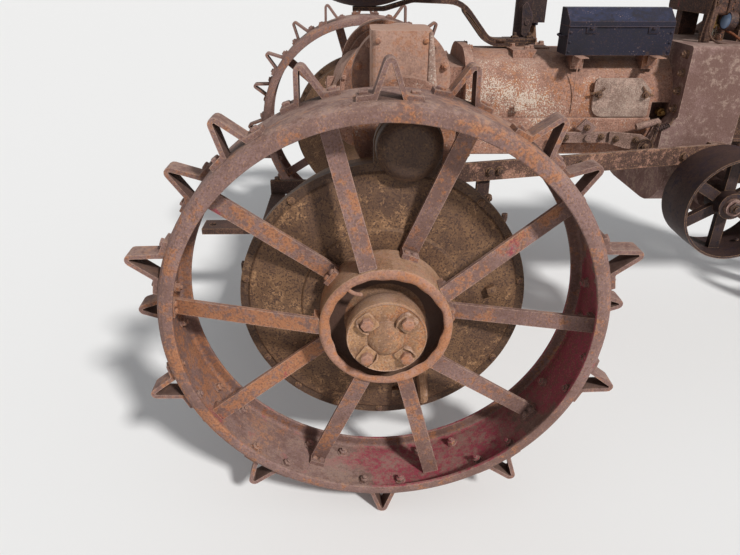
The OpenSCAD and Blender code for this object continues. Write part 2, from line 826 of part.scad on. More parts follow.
module fuel_tank() {
    w = tank_w / 2;
    tank_end = tank_x + tank_l;
    hood_end = radiator_x - radiator_lip;
    cap_h = 34;
    at_stations() {
        along(tank_x, tank_end) polygon(hood_outline(0));
        difference() {
            along(tank_end - 1, hood_end) polygon(hood_outline(0));
            along(tank_end, hood_end + 1) polygon(hood_outline(hood_t));
            translate([tank_end, -w - 1, tank_bottom - 1]) cube([hood_end - tank_end + 1, tank_w + 2, 20]);
        }
        for (s = [-1, 1])
            translate([tank_x + 12, s * 90 - 20, clutch_top + seat_gap])
                cube([60, 40, tank_bottom - clutch_top - seat_gap + 1]);
        translate([tank_x + 330, 0, tank_top - 2]) {
            cylinder(r = 30, h = 12);
            translate([0, 0, 11]) cylinder(r = 42, h = cap_h - 11);
        }
    }
}

// The tank and the hood seen from the front.
function hood_outline(inset) =
    let (w = tank_w / 2 - inset, low = tank_bottom - (inset > 0 ? 1 : 0), high = tank_top - inset)
    rounded([[-w, low, inset > 0 ? 0 : 14], [w, low, inset > 0 ? 0 : 14], [w, high - 45, 50],
        [90, high, 70], [-90, high, 70], [-w, high - 45, 50]], 4);

module radiator() {
    w = radiator_w / 2;
    x0 = radiator_x;
    x1 = radiator_x + radiator_t;
    core_half_w = w - 28;
    core_low = radiator_bottom + 68;
    core_high = radiator_top - 92;
    fins = 22;
    pitch = 2 * core_half_w / fins;
    at_stations() {
        along(x0 + 12, x1 - 22)
            polygon(box_outline(-w + 4, radiator_bottom + 4, w - 4, radiator_top - 4, 0));
        for (s = [0, 1]) mirror([0, s, 0])
            translate([x0, -w, radiator_bottom + 4])
                cube([radiator_t, 30, radiator_top - radiator_bottom - 20]);
        along(x0 - radiator_lip, x1 + radiator_lip)
            polygon(box_outline(-w - 5, core_high, w + 5, radiator_top, 40));
        along(x0 - radiator_lip, x1 + radiator_lip)
            polygon(box_outline(-w - 5, radiator_bottom, w + 5, core_low, 12));
        for (i = [0 : fins])
            translate([x1 - 23, -core_half_w + pitch * i - 2, core_low - 1])
                cube([18, 4, core_high - core_low + 2]);
        translate([x0 + radiator_t / 2, 95, radiator_top - 1]) {
            cylinder(r = 30, h = 16);
            translate([0, 0, 15]) cylinder(r = 40, h = 20);
        }
        translate([0, 0, core_high + 40]) tube_x(26, x0 - 60, x0 - radiator_lip + 1);
    }
}

module fan() {
    blade_turn = 28;
    at_stations() translate([fan_x, 0, fan_z]) {
        tube_x(40, -70, 15);
        tube_x(58, -66, -38);
        for (i = [0 : 3]) rotate([90 * i + 45, 0, 0]) intersection() {
            rotate([0, 0, blade_turn]) translate([-3, -34, 25]) cube([6, 68, fan_r]);
            tube_x(fan_r, -60, 60);
        }
    }
}

// Front bolster, post, wheels and steering

post_r = 40;
front_axle_r = 22;
bolster_bottom = 705;
steering_box_z = 1270;

module front_bolster() {
    at_stations() difference() {
        union() {
            translate([wheelbase, 0, bolster_bottom])
                cylinder(r = 75, h = steering_box_z - bolster_bottom + 20);
            translate([wheelbase, 0, steering_box_z]) cylinder(r = 112, h = 110);
            across(-channel_in, channel_in)
                polygon(box_outline(wheelbase - 125, bolster_bottom, wheelbase - 5, bolster_bottom + 90, 6));
            across(-60, 60)
                polygon([[wheelbase - 125, bolster_bottom + 60], [wheelbase, bolster_bottom + 60],
                    [wheelbase, steering_box_z + 30], [wheelbase - 60, steering_box_z + 30]]);
            intersection() {
                translate(shaft_rear) steering_turn() translate([0, 0, shaft_l - worm_boss_l])
                    cylinder(r = 32, h = worm_boss_l);
                translate([0, -50, 0]) cube([wheelbase, 100, 2000]);
            }
        }
        translate([wheelbase, 0, bolster_bottom - 10]) cylinder(r = post_r + fit_gap, h = 520);
    }
}

module front_axle_end() {
    translate([0, -front_tread / 2, front_z]) rotate([camber, 0, 0]) children();
}

module front_post() {
    at_stations() translate([wheelbase, 0, 0]) {
        translate([0, 0, front_z - 30]) cylinder(r = post_r, h = bolster_bottom + 300 - front_z);
        translate([0, 0, bolster_bottom - 40]) cylinder(r = 70, h = 34);
        translate([0, 0, front_z - 55]) cylinder(r = 50, h = 150);
        for (s = [0, 1]) mirror([0, s, 0])
            front_axle_end() tube_y(front_axle_r, -20, front_tread / 2);
    }
}

module front_wheel() {
    w = front_rim_w / 2;
    hub_in = 42;
    at_stations() translate([wheelbase, 0, 0]) front_axle_end() rotate([90, 0, 0]) difference() {
        union() {
            rotate_extrude($fn = 96)
                polygon([
                    [front_rim_r - 8, -w], [front_rim_r, -w], [front_rim_r, -9],
                    [front_tip_r, -front_ridge_half_w], [front_tip_r, front_ridge_half_w],
                    [front_rim_r, 9], [front_rim_r, w], [front_rim_r - 8, w]
                ]);
            translate([0, 0, -hub_in]) cylinder(r = 46, h = 2 * hub_in + 4);
            for (i = [0 : 7]) rotate(45 * i) translate([40, -14, -6]) cube([front_rim_r - 44, 28, 12]);
            translate([0, 0, hub_in]) cylinder(r = 34, h = 22);
        }
        translate([0, 0, -hub_in - 1]) cylinder(r = front_axle_r + fit_gap, h = 2 * hub_in);
    }
}

module steering_turn() {
    d = shaft_front - shaft_rear;
    rotate([0, acos(d.z / norm(d)), atan2(d.y, d.x)]) children();
}

module steering_line() {
    at_stations() translate(shaft_rear) steering_turn() children();
}

module steering_shaft() {
    steering_line() translate([0, 0, 10])
        cylinder(r = steer_shaft_r, h = shaft_l - worm_boss_l - seat_gap - 10);
}

module steering_wheel() {
    steering_line() {
        rotate_extrude($fn = 96) translate([steer_wheel_r - 12, -20]) circle(r = 12, $fn = 24);
        translate([0, 0, -40]) cylinder(r = 34, h = 50);
        for (i = [0 : 3]) rotate(90 * i + 45) rotate([0, 90, 0])
            translate([20, 0, 20]) cylinder(r = 8, h = steer_wheel_r - 36);
    }
}

function shaft_z(x) =
    shaft_rear.z + (shaft_front.z - shaft_rear.z) * (x - shaft_rear.x) / (shaft_front.x - shaft_rear.x);

module steering_brackets() {
    difference() {
        at_stations() for (x = [tank_x + 90, radiator_x - 180])
            translate([x - 18, -22, tank_top]) cube([36, 44, shaft_z(x) + 26 - tank_top]);
        steering_line() cylinder(r = steer_shaft_r + fit_gap, h = shaft_l);
    }
}

module steering_post() {
    shaft_seat = shaft_z(post_x);
    difference() {
        at_stations() {
            translate([post_x - 60, post_y - 28, gearbox_plate_top]) cube([106, 52, 20]);
            translate([post_x, post_y, gearbox_plate_top + 19])
                cylinder(r = 29, h = shaft_seat - 49 - gearbox_plate_top);
            translate([post_x - 28, -24, shaft_seat - 31]) cube([56, post_y + 52, 60]);
            translate([post_x + 20, post_y - 5, 1136]) cube([56, 10, shaft_seat - 1136 + 20]);
            across(post_y - 40, post_y)
                polygon(rounded([
                    [post_x - 8, 1100, 4], [post_x + 4, 1097, 4],
                    [post_x + 24, 1130, 40], [post_x + 22, 1165, 30],
                    [post_x, 1205, 6], [post_x - 14, 1190, 5]
                ], 3));
            translate([post_x + 6, post_y - 44, 1140]) tube_y(8, 0, 10);
        }
        steering_line() cylinder(r = steer_shaft_r + fit_gap, h = shaft_l);
    }
}

color(RUST) gearbox();
color(RUST) hand_hole_cover();
color(SOOT) shift_tower();
color(RUST) clutch_housing();
color(DARK_RUST) drop_housing();  // drop_housing_right
color(DARK_RUST) on_side(true) drop_housing();  // drop_housing_left
color(RUST) axle_tube();  // axle_tube_right
color(RUST) on_side(true) axle_tube();  // axle_tube_left
color(ORANGE_RUST) brake_housing();  // brake_housing_right
color(RUST) seat_spring();
color(SOOT) seat();
color(SOOT) toolbox();
color(SOOT) toolbox_lid();
color(RUST) side_rails();
color(RUST) frame_channels();
color(RUST) drawbar();
color(RUST) linkage();
color(RUST) hanger_bracket();
color(DARK_RUST) pulley_housing();
color(DARK_RUST) belt_pulley();
color(DARK_RUST) engine_block();
color(RUST) manifold();
color(RUST) exhaust_pipe();
color(SOOT) magneto();
color(DARK_RUST) air_cleaner();
color(RUST) fuel_tank();
color(RUST) radiator();
color(DARK_RUST) fan();
color(RUST) front_bolster();
color(RUST) steering_brackets();
color(SOOT) steering_post();
color(BARE) steering_shaft();
color(DARK_RUST) steering_wheel();
color(RUST) front_post();
color(RUST) front_wheel();  // front_wheel_right
color(RUST) on_side(true) front_wheel();  // front_wheel_left
color(RUST) wheel_frame() rear_rim();  // rear_rim_right
color(OLD_RED) wheel_frame() rear_spokes();  // rear_spokes_right
color(ORANGE_RUST) wheel_frame() rear_hub();  // rear_hub_right
color(RUST) on_side(true) wheel_frame() rear_rim();  // rear_rim_left
color(OLD_RED) on_side(true) wheel_frame() rear_spokes();  // rear_spokes_left
color(ORANGE_RUST) on_side(true) wheel_frame() rear_hub();  // rear_hub_left
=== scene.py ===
import json
import math

import bmesh
import bpy
from bpy.props import FloatProperty, FloatVectorProperty, IntProperty, PointerProperty
from bpy.types import Operator, Panel, PropertyGroup
from mathutils import Matrix, Vector


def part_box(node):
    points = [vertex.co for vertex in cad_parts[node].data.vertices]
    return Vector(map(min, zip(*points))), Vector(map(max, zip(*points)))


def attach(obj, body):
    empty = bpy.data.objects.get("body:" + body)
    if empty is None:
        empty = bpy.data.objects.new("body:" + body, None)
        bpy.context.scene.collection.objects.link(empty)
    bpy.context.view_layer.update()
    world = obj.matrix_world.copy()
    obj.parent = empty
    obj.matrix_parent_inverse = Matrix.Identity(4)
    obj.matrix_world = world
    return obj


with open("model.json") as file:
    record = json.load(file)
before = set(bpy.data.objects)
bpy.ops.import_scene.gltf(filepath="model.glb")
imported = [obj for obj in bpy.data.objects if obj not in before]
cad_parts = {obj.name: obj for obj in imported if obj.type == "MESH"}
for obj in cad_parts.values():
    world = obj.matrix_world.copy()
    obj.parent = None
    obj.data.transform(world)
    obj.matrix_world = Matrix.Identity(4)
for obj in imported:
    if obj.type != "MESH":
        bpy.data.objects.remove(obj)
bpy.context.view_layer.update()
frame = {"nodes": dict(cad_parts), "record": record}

bl_info = {
    "name": "Row-crop tractor on steel wheels",
    "version": (1, 0, 0),
    "blender": (4, 5, 0),
    "location": "3D View > Sidebar > Tractor",
    "description": "Dresses the packed tractor: rust, old paint, bolts and the small fittings",
    "category": "Object",
}


def middle(node):
    """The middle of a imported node's box."""
    return [(low + high) / 2 for low, high in zip(*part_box(node))]


AXLE_X, RIM_Y, AXLE_Z = middle("rear_rim_right")
WHEEL_Y = abs(RIM_Y)

MM = 0.001
AHEAD, BACK = Vector((1, 0, 0)), Vector((-1, 0, 0))
LEFT, RIGHT = Vector((0, 1, 0)), Vector((0, -1, 0))
UP, DOWN = Vector((0, 0, 1)), Vector((0, 0, -1))
BOTH = (-1, 1)
SIDES = {"right": -1, "left": 1}
OUTWARD = {"right": RIGHT, "left": LEFT}
SMOOTH_ANGLE = math.radians(35)
PALE_EDGE_WIDTH = 0.0035
HOLLOW_REACH = 0.07
PITTING_DEPTH = 0.0016
SUN_WAY = Vector((-0.42, 0.64, -0.68))
SKY_COLOUR = (0.92, 0.95, 1.0, 1)

# Stations and heights in millimetres, and the turn of the spokes in degrees.
TUBE_STATION, TUBE_Z = 50, 969
POST_STATION = 2159
CYLINDERS = [1235 + 140 * k for k in range(4)]
SPOKES = 10
SPOKE_TURN = -2.7


def colour_property(name, description, default):
    return FloatVectorProperty(
        name=name, description=description, default=default, size=3, min=0, max=1, subtype="COLOR")


def length_property(name, description, default):
    return FloatProperty(name=name, description=description, default=default, min=0, unit="LENGTH")


def angle_property(name, description, degrees):
    return FloatProperty(name=name, description=description, default=math.radians(degrees), subtype="ANGLE")


class TractorFinish(PropertyGroup):
    """Colours of the metal, its rust and what is left of its paint, and a painted reflection of the sky."""
    black_rust: colour_property("Black rust", "Rust in pits and under old oil", (0.026, 0.014, 0.012))
    deep_rust: colour_property("Deep rust", "Dark rust of bars and rails", (0.058, 0.031, 0.025))
    brown_rust: colour_property("Brown rust", "Dark rust over wheels and castings", (0.130, 0.066, 0.048))
    mauve_rust: colour_property("Mauve rust", "Dry greyish rust of the wheel rims", (0.245, 0.148, 0.132))
    casting: colour_property("Casting", "Rust of the gearbox castings", (0.430, 0.225, 0.158))
    orange_rust: colour_property("Orange rust", "Fresh rust", (0.400, 0.155, 0.060))
    tan_rust: colour_property("Tan rust", "Yellowish rust on hub and covers", (0.440, 0.245, 0.125))
    pale_rust: colour_property("Pale rust", "Dry rust on worn edges", (0.500, 0.340, 0.270))
    old_red: colour_property("Old red", "Faded red paint", (0.310, 0.038, 0.068))
    olive: colour_property("Olive", "Oil-soaked rust of the gear drops", (0.215, 0.115, 0.058))
    soot: colour_property("Soot", "Near-black sheet metal", (0.010, 0.008, 0.011))
    slate: colour_property("Slate", "Scuffed black paint", (0.011, 0.010, 0.025))
    # Painted reflection of the sky, which the black sheet lays on its top faces.
    sky_sheen_blue: colour_property("Sky sheen", "Black paint bleached by the sky", (0.030, 0.042, 0.100))
    # Off-white for whitish blotches and specks; on the gearbox shoulder and the brake box's corner it is also
    # a painted highlight.
    off_white: colour_property("Off-white", "Whitish blotches on the castings", (0.640, 0.560, 0.460))
    dust: colour_property("Dust", "Dust that lies on top faces", (0.380, 0.270, 0.215))


class TractorFittings(PropertyGroup):
    """Counts and places of the small fittings."""
    lug_count: IntProperty(
        name="Lugs in a row", description="Lugs in one of a wheel's two rows", default=10, min=1)
    lug_row: length_property("Lug row", "Distance of a lug row from the rim's middle", 0.048)
    ring_bolts: IntProperty(
        name="Ring bolts", description="Bolts round the flange of a gear drop", default=18, min=3)


class TractorStage(PropertyGroup):
    """Camera, floor and lamps."""
    camera_x: length_property("Camera behind axle", "Distance of the camera behind the rear axle", 0.0759)
    camera_y: length_property("Camera aside", "Distance of the camera from the tractor's middle", 2.1805)
    camera_z: length_property("Camera height", "Height of the camera over the floor", 1.328)
    lens: FloatProperty(
        name="Lens", description="Focal length on a 36 mm sensor", default=29.65, unit="CAMERA")
    yaw: angle_property("Yaw", "Turn towards the front", 1.92)
    pitch: angle_property("Pitch", "Look down", 27.64)
    roll: angle_property("Roll", "Roll of the camera", 0.31)
    floor: colour_property("Floor", "Colour of the floor and backdrop", (0.84, 0.83, 0.81))
    sun: FloatProperty(name="Sun", description="Strength of the key lamp", default=3.1, min=0)
    sun_size: angle_property("Sun size", "Angle that the key lamp covers, which softens shadows", 6)
    sky: FloatProperty(
        name="Sky", description="Strength of the even light from all round", default=0.38, min=0)


class Socket:
    """A shader socket or a number that takes part in sums."""

    def __init__(self, shader, value):
        self.shader = shader
        self.value = value

    def math(self, operation, other):
        other = other.value if isinstance(other, Socket) else other
        return self.shader.add("ShaderNodeMath", {"operation": operation}, {0: self.value, 1: other})

    def __add__(self, other):
        return self.math("ADD", other)

    __radd__ = __add__

    def __sub__(self, other):
        return self.math("SUBTRACT", other)

    def __rsub__(self, other):
        return Socket(self.shader, other).math("SUBTRACT", self)

    def __mul__(self, other):
        return self.math("MULTIPLY", other)

    def step(self, low, high):
        """Rises smoothly from 0 at low to 1 at high."""
        return self.shader.add(
            "ShaderNodeMapRange", {"interpolation_type": "SMOOTHSTEP"},
            {"Value": self, "From Min": low, "From Max": high})


class Shader:
    """Builds one material's nodes."""

    def __init__(self, name):
        self.material = bpy.data.materials.new(name)
        self.material.use_nodes = True
        self.tree = self.material.node_tree
        self.surface = self.tree.nodes["Principled BSDF"]
        self.object_coords = self.add("ShaderNodeTexCoord", {}, {}, "Object")
        self.normal = self.add("ShaderNodeTexCoord", {}, {}, "Normal")

    def add(self, kind, settings, inputs, output=0):
        """Adds a node: its settings come first, then the values or links of its sockets."""
        node = self.tree.nodes.new(kind)
        for key, value in settings.items():
            setattr(node, key, value)
        for key, value in inputs.items():
            value = value.value if isinstance(value, Socket) else value
            socket = node.inputs[key]
            if isinstance(value, bpy.types.NodeSocket):
                self.tree.links.new(value, socket)
            else:
                socket.default_value = value
        return Socket(self, node.outputs[output])

    def noise(self, scale, detail, rough, warp=0.0, coords=None):
        return self.add("ShaderNodeTexNoise", {}, {
            "Vector": coords or self.object_coords, "Scale": scale, "Detail": detail,
            "Roughness": rough, "Distortion": warp})

    def mix(self, factor, first, second):
        def colour(value):
            return value if isinstance(value, Socket) else (*value, 1.0)
        return self.add("ShaderNodeMix", {"data_type": "RGBA"},
                        {0: factor, 6: colour(first), 7: colour(second)}, 2)

    def vector(self, operation, first, second, output="Vector"):
        return self.add("ShaderNodeVectorMath", {"operation": operation}, {0: first, 1: second}, output)

    def near(self, place, reach):
        """1 at a place of the part, falling to 0 at a distance of reach."""
        return 1 - self.vector("DISTANCE", self.object_coords, place, "Value").step(reach * 0.3, reach)

    def outward(self):
        """The vector from the rear axle to the point, square to the axle."""
        from_axle = self.vector("SUBTRACT", self.object_coords, (AXLE_X, 0, AXLE_Z))
        return self.vector("MULTIPLY", from_axle, (1, 0, 1))

    def inward(self):
        """1 on faces that look at the rear axle, as the inside of a rim does."""
        way = self.add("ShaderNodeVectorMath", {"operation": "NORMALIZE"}, {0: self.outward()})
        return (0 - self.vector("DOT_PRODUCT", way, self.normal, "Value")).step(0.5, 0.8)

    def ring(self, inner, outer, soft=0.002):
        """1 between two distances from the rear axle."""
        radius = self.add("ShaderNodeVectorMath", {"operation": "LENGTH"}, {0: self.outward()}, "Value")
        return radius.step(inner - soft, inner + soft) * (1 - radius.step(outer - soft, outer + soft))

    def edges(self, width):
        """1 on outer edges and in corners, where a normal that is rounded off leaves the face's own."""
        rounded = self.add("ShaderNodeBevel", {"samples": 4}, {"Radius": width})
        face = self.add("ShaderNodeNewGeometry", {}, {}, "Normal")
        return (1 - self.vector("DOT_PRODUCT", rounded, face, "Value")).step(0.02, 0.22)

    def open_sky(self, reach):
        """1 where nothing of the piece is near, lower in its hollows."""
        return self.add(
            "ShaderNodeAmbientOcclusion", {"samples": 4, "only_local": True}, {"Distance": reach}, "AO")

    def finish(self, colour, rough, bump, depth, metallic=0.0):
        inputs = self.surface.inputs
        self.tree.links.new(colour.value, inputs["Base Color"])
        self.tree.links.new(rough.value, inputs["Roughness"])
        inputs["Metallic"].default_value = metallic
        bumped = self.add("ShaderNodeBump", {}, {"Strength": 1.0, "Distance": depth, "Height": bump})
        self.tree.links.new(bumped.value, inputs["Normal"])
        return self.material


def weathered(name, dark, body, warm, light, edge=None, top=None, paint=None, cover=0.0, spots=None,
              spot_cover=0.0, spot_places=(), paint_places=(), warm_places=(), inside=0.0,
              shaded_ring=None, warmth=0.5, pits=0.6, speck=0.4, streak=0.0, rough=0.82, relief=1.0,
              seed=0.0):
    """Iron left outdoors: rust in three tones, pits, old paint, pale edges of wear and painted highlight, and
    dirt and painted shade in hollows.
    """
    shader = Shader(name)
    shift = shader.vector("ADD", shader.object_coords, (seed, seed * 0.7, seed * 1.3))
    broad = shader.noise(3.2, 5, 0.6, 0.4, shift)
    patch = shader.noise(13, 6, 0.62, 0.2, shift)
    # Two noises are mirrored, so that their patterns don't follow the others'.
    mirrored = shader.vector("MULTIPLY", shader.object_coords, (-1.0, 1.1, 0.9))
    other = shader.noise(10, 6, 0.70, 0.3, mirrored)
    grain = shader.noise(70, 5, 0.68, 0, shift)
    crumb = shader.noise(210, 2, 0.6, 0, shift)
    fleck = shader.noise(260, 2, 0.6, 0, mirrored)
    plain = (broad * 0.3 + patch * 0.35 + grain * 0.35).step(0.40, 0.57)
    colour = shader.mix(plain, shader.mix(0.35, dark, body), body)

    fresh = other * 0.45 + patch * 0.15 + grain * 0.4
    for place in warm_places:
        fresh = fresh + shader.near(*place) * 0.05
    start = 0.56 - warmth * 0.12
    colour = shader.mix(fresh.step(start, start + 0.07) * 0.75, colour, warm)

    if paint:
        left = broad * 0.55 + patch * 0.35 + grain * 0.15
        kept = 0.13
        if inside:
            within = shader.inward()
            left = left + within * inside
            kept = within * 0.13 + 0.05
        for place in paint_places:
            left = left + shader.near(*place) * kept
        start = 0.63 - cover * 0.3
        faded = shader.mix(grain.step(0.46, 0.60), paint, shader.mix(0.6, dark, paint))
        colour = shader.mix(left.step(start, start + 0.04) * 0.9, colour, faded)

    if streak:
        stretched = shader.vector("MULTIPLY", shader.object_coords, (1.0, 1.0, 0.10))
        run = shader.noise(22, 4, 0.6, 0, stretched)
        colour = shader.mix(run.step(0.5, 0.72) * streak, colour, dark)
    colour = shader.mix((crumb * 0.7 + grain * 0.3).step(0.50, 0.58) * pits, colour, dark)
    colour = shader.mix((fleck * 0.8 + patch * 0.2).step(0.56, 0.62) * speck, colour, light)

    if spots:
        blot = broad * 0.15 + patch * 0.35 + fleck * 0.5
        for place in spot_places:
            blot = blot + shader.near(*place) * 0.055
        start = 0.63 - spot_cover * 0.2
        colour = shader.mix(blot.step(start, start + 0.05) * 0.8, colour, spots)
    # Top faces take the top colour: dust on most materials, and on the black sheet a painted reflection of
    # the sky.
    if top:
        flat = shader.add("ShaderNodeSeparateXYZ", {}, {0: shader.normal}, "Z").step(0.35, 0.95)
        colour = shader.mix(flat * (grain * 0.5 + patch * 0.5).step(0.40, 0.60) * 0.5, colour, top)
    # Pale edges: partly wear, partly a painted highlight along the edges.
    if edge:
        colour = shader.mix(shader.edges(PALE_EDGE_WIDTH) * grain.step(0.34, 0.50) * 0.8, colour, edge)
    # Dirt and painted shade: hollows go dark where the piece shuts out light, and a shaded ring adds painted
    # shade.
    hollow_dirt_and_shade = (1 - shader.open_sky(HOLLOW_REACH)).step(0.12, 0.75) * 0.75
    if shaded_ring:
        inner, outer, shade = shaded_ring
        hollow_dirt_and_shade = hollow_dirt_and_shade.math("MAXIMUM", shader.ring(inner, outer) * shade)
    colour = shader.mix(hollow_dirt_and_shade, colour, shader.mix(0.5, dark, (0.01, 0.008, 0.007)))

    cells = shader.add("ShaderNodeTexVoronoi", {}, {"Vector": shift, "Scale": 150}, "Distance")
    height = patch * 0.45 + grain * 0.35 + crumb * 0.2 + cells.step(0.0, 0.45) * 0.25 * relief
    shader.surface.inputs["Specular IOR Level"].default_value = 0.3
    return shader.finish(colour, grain * 0.24 + (rough - 0.12), height, PITTING_DEPTH * relief)


def dull_metal(name, bright, dull, rough):
    """Brass or copper with old oil in its hollows."""
    shader = Shader(name)
    patch = shader.noise(60, 5, 0.6)
    grain = shader.noise(400, 3, 0.6)
    colour = shader.mix((patch * 0.7 + grain * 0.3).step(0.38, 0.60), dull, bright)
    return shader.finish(colour, rough + patch * 0.3, grain, 0.0004, metallic=1.0)


def dirty_glass(name):
    """Glass with a brown film, clear enough to see into."""
    shader = Shader(name)
    film = shader.noise(70, 4, 0.6)
    shader.finish(shader.mix(film, (0.50, 0.36, 0.20), (0.75, 0.66, 0.50)), film * 0.2 + 0.08, film, 0.0002)
    shader.surface.inputs["Transmission Weight"].default_value = 0.75
    return shader.material


def sky_glass(name):
    """The dull glass of a gauge, painted blue as a reflection of the sky."""
    shader = Shader(name)
    film = shader.noise(90, 4, 0.6)
    colour = shader.mix(film, (0.28, 0.44, 0.70), (0.42, 0.58, 0.82))
    return shader.finish(colour, film * 0.2 + 0.1, film, 0.0001)


MATERIALS = {}
OWN_FINISH = {
    "clutch_housing": "mauve_casting", "pulley_housing": "mauve_casting", "rear_hub_right": "hub_casting",
    "rear_hub_left": "hub_casting", "linkage": "link_steel", "steering_post": "steering_steel",
    "brake_housing_right": "brake_casting", "seat": "steering_steel", "side_rails": "rail_steel",
}


def between(first, second):
    """The colour halfway between two."""
    return tuple((a + b) / 2 for a, b in zip(first, second))


def on_rim(ahead, above, reach):
    """A place by the right rear wheel, in metres from its axle, and how far its effect reaches."""
    return (AXLE_X + ahead, -WHEEL_Y, AXLE_Z + above), reach


def make_materials(scheme):
    """Makes every material. The colours' short names follow the order of TractorFinish."""
    black, deep, brown, mauve, casting, orange, tan, pale, red, olive, soot, slate, sky_sheen, off_white, dust = (
        tuple(getattr(scheme, key)) for key in scheme.__annotations__)
    # Whitish blotches on the gearbox's side: partly real blotches, partly a painted highlight where its
    # rounded shoulder faces the light.
    pale_and_lit_blotches = [
        (spot(450, -200, 1000), 0.17), (spot(415, -200, 905), 0.12), (spot(545, -195, 900), 0.10),
        (spot(320, -200, 960), 0.10)]
    rim_paint = [on_rim(0.36, -0.35, 0.50), on_rim(0.49, 0, 0.2), on_rim(0.15, -0.48, 0.30)]
    rim_warm = [on_rim(-0.48, -0.1, 0.5), on_rim(0.2, 0.46, 0.25)]
    foot_paint = [
        on_rim(0.12, -0.47, 0.1), on_rim(-0.38, -0.27, 0.14), on_rim(-0.22, -0.17, 0.08),
        on_rim(0.28, 0.15, 0.12), on_rim(-0.40, 0.24, 0.10)]
    MATERIALS.update({
        "rusty_casting": weathered(
            "Rusted casting", brown, casting, orange, pale, pale, dust, spots=off_white, spot_cover=0.20,
            spot_places=pale_and_lit_blotches, streak=0.3, seed=1.0),
        "mauve_casting": weathered(
            "Mauve casting", brown, mauve, dust, pale, pale, dust, streak=0.2, pits=0.45, speck=0.25,
            seed=1.5),
        # The brake box's corner: its whitish colour is a painted highlight.
        "lit_corner_casting": weathered(
            "Whitish casting", brown, pale, casting, off_white, off_white, dust, warmth=0.2, pits=0.3, speck=0.8,
            seed=1.7),
        "greasy_casting": weathered(
            "Greasy casting", deep, olive, tan, tan, tan, olive, warmth=0.25, pits=0.85, speck=0.15,
            streak=0.2, rough=0.66, shaded_ring=(0.325, 0.5, 0.55), seed=2.0),
        "orange_casting": weathered(
            "Orange casting", brown, casting, orange, tan, pale, dust, warmth=0.75, pits=0.35, seed=3.0),
        "brake_casting": weathered(
            "Brake casting", brown, between(pale, casting), between(orange, casting), tan, pale, dust,
            pits=0.25, seed=3.2),
        "rail_steel": weathered(
            "Rail steel", black, brown, casting, tan, tan, dust, relief=0.7, warmth=0.45, seed=8.2),
        "hub_casting": weathered(
            "Hub casting", brown, tan, orange, pale, pale, dust, warmth=0.6, pits=0.5,
            shaded_ring=(0.094, 0.1375, 0.95), seed=3.5),
        "tab_steel": weathered("Lock tab steel", brown, tan, pale, pale, pale, dust, pits=0.35, seed=3.7),
        "engine_iron": weathered("Engine iron", black, brown, olive, tan, tan, brown, rough=0.7, seed=4.0),
        "cover_plate": weathered(
            "Cover plate", brown, dust, pale, off_white, pale, dust, pits=0.5, relief=0.6, seed=5.0),
        "rim_steel": weathered(
            "Wheel rim", brown, mauve, orange, tan, pale, dust, paint=red, cover=-0.10, inside=0.05,
            paint_places=rim_paint, warm_places=rim_warm, warmth=0.30, seed=6.0),
        "spoke_steel": weathered(
            "Spoke steel", brown, mauve, orange, tan, pale, dust, paint=red, cover=-0.05,
            paint_places=foot_paint, warm_places=rim_warm, seed=7.0),
        "frame_steel": weathered(
            "Frame steel", black, deep, brown, tan, tan, deep, relief=0.7, speck=0.25, seed=8.0),
        "link_steel": weathered(
            "Linkage steel", deep, between(casting, dust), mauve, pale, pale, dust, relief=0.7, seed=8.5),
        # Its top colour is a painted reflection of the sky.
        "black_sheet": weathered(
            "Black sheet", soot, slate, deep, brown, brown, sky_sheen, spots=pale, spot_cover=0.10, warmth=0.2,
            pits=0.4, speck=0.15, relief=0.5, rough=0.62, seed=9.0),
        "sheet_metal": weathered(
            "Old sheet metal", black, deep, brown, orange, tan, brown, paint=red, cover=0.05, relief=0.5,
            warmth=0.6, seed=10.0),
        "pulley_iron": weathered(
            "Pulley iron", soot, deep, slate, brown, tan, deep, relief=0.5, rough=0.6, speck=0.2, seed=11.0),
        "steering_steel": weathered(
            "Steering steel", soot, deep, slate, tan, mauve, brown, relief=0.6, rough=0.65, speck=0.2,
            seed=12.0),
        "rubber": weathered(
            "Old rubber", soot, soot, slate, deep, top=dust, relief=0.4, rough=0.75, seed=13.0),
        "porcelain": weathered(
            "Porcelain", dust, off_white, pale, off_white, pits=0.1, relief=0.1, rough=0.35, seed=14.0),
        "brass": dull_metal("Dull brass", (0.30, 0.17, 0.06), (0.12, 0.07, 0.03), 0.45),
        "copper": dull_metal("Dull copper", (0.34, 0.13, 0.07), (0.09, 0.05, 0.035), 0.40),
        "glass": dirty_glass("Bowl glass"),
        "gauge_glass": sky_glass("Gauge glass"),
    })


def spot(station, y, z):
    """A place given in millimetres: station ahead of the rear axle, y to the left, z over the floor."""
    return Vector((AXLE_X + station * MM, y * MM, z * MM))


def standing(place, way, spin=0.0):
    """The matrix that stands a fitting's own Z axis on a surface that faces way."""
    turn = Vector(way).to_track_quat("Z", "Y").to_matrix().to_4x4()
    return Matrix.Translation(place) @ turn @ Matrix.Rotation(math.radians(spin), 4, "Z")


def at(station, y, z, way, spin=0.0):
    """Stands a fitting at a spot."""
    return standing(spot(station, y, z), way, spin)


def level(station, y, z):
    """Puts a fitting at a spot without turning it."""
    return Matrix.Translation(spot(station, y, z))


def wheel_spot(side, radius, angle, out):
    """A place on a rear wheel: radius and angle round the axle, out from the rim's middle."""
    way = wheel_way(angle) * radius * MM
    return Vector((AXLE_X + way.x, SIDES[side] * (WHEEL_Y + out * MM), AXLE_Z + way.z))


def wheel_way(angle):
    """The way from the rear axle towards an angle round it."""
    turn = math.radians(angle)
    return Vector((math.cos(turn), 0, math.sin(turn)))


def turns(count, first=0.0):
    """Angles spaced evenly round a circle, in radians, from a first one in degrees."""
    return [math.radians(first + 360 * k / count) for k in range(count)]


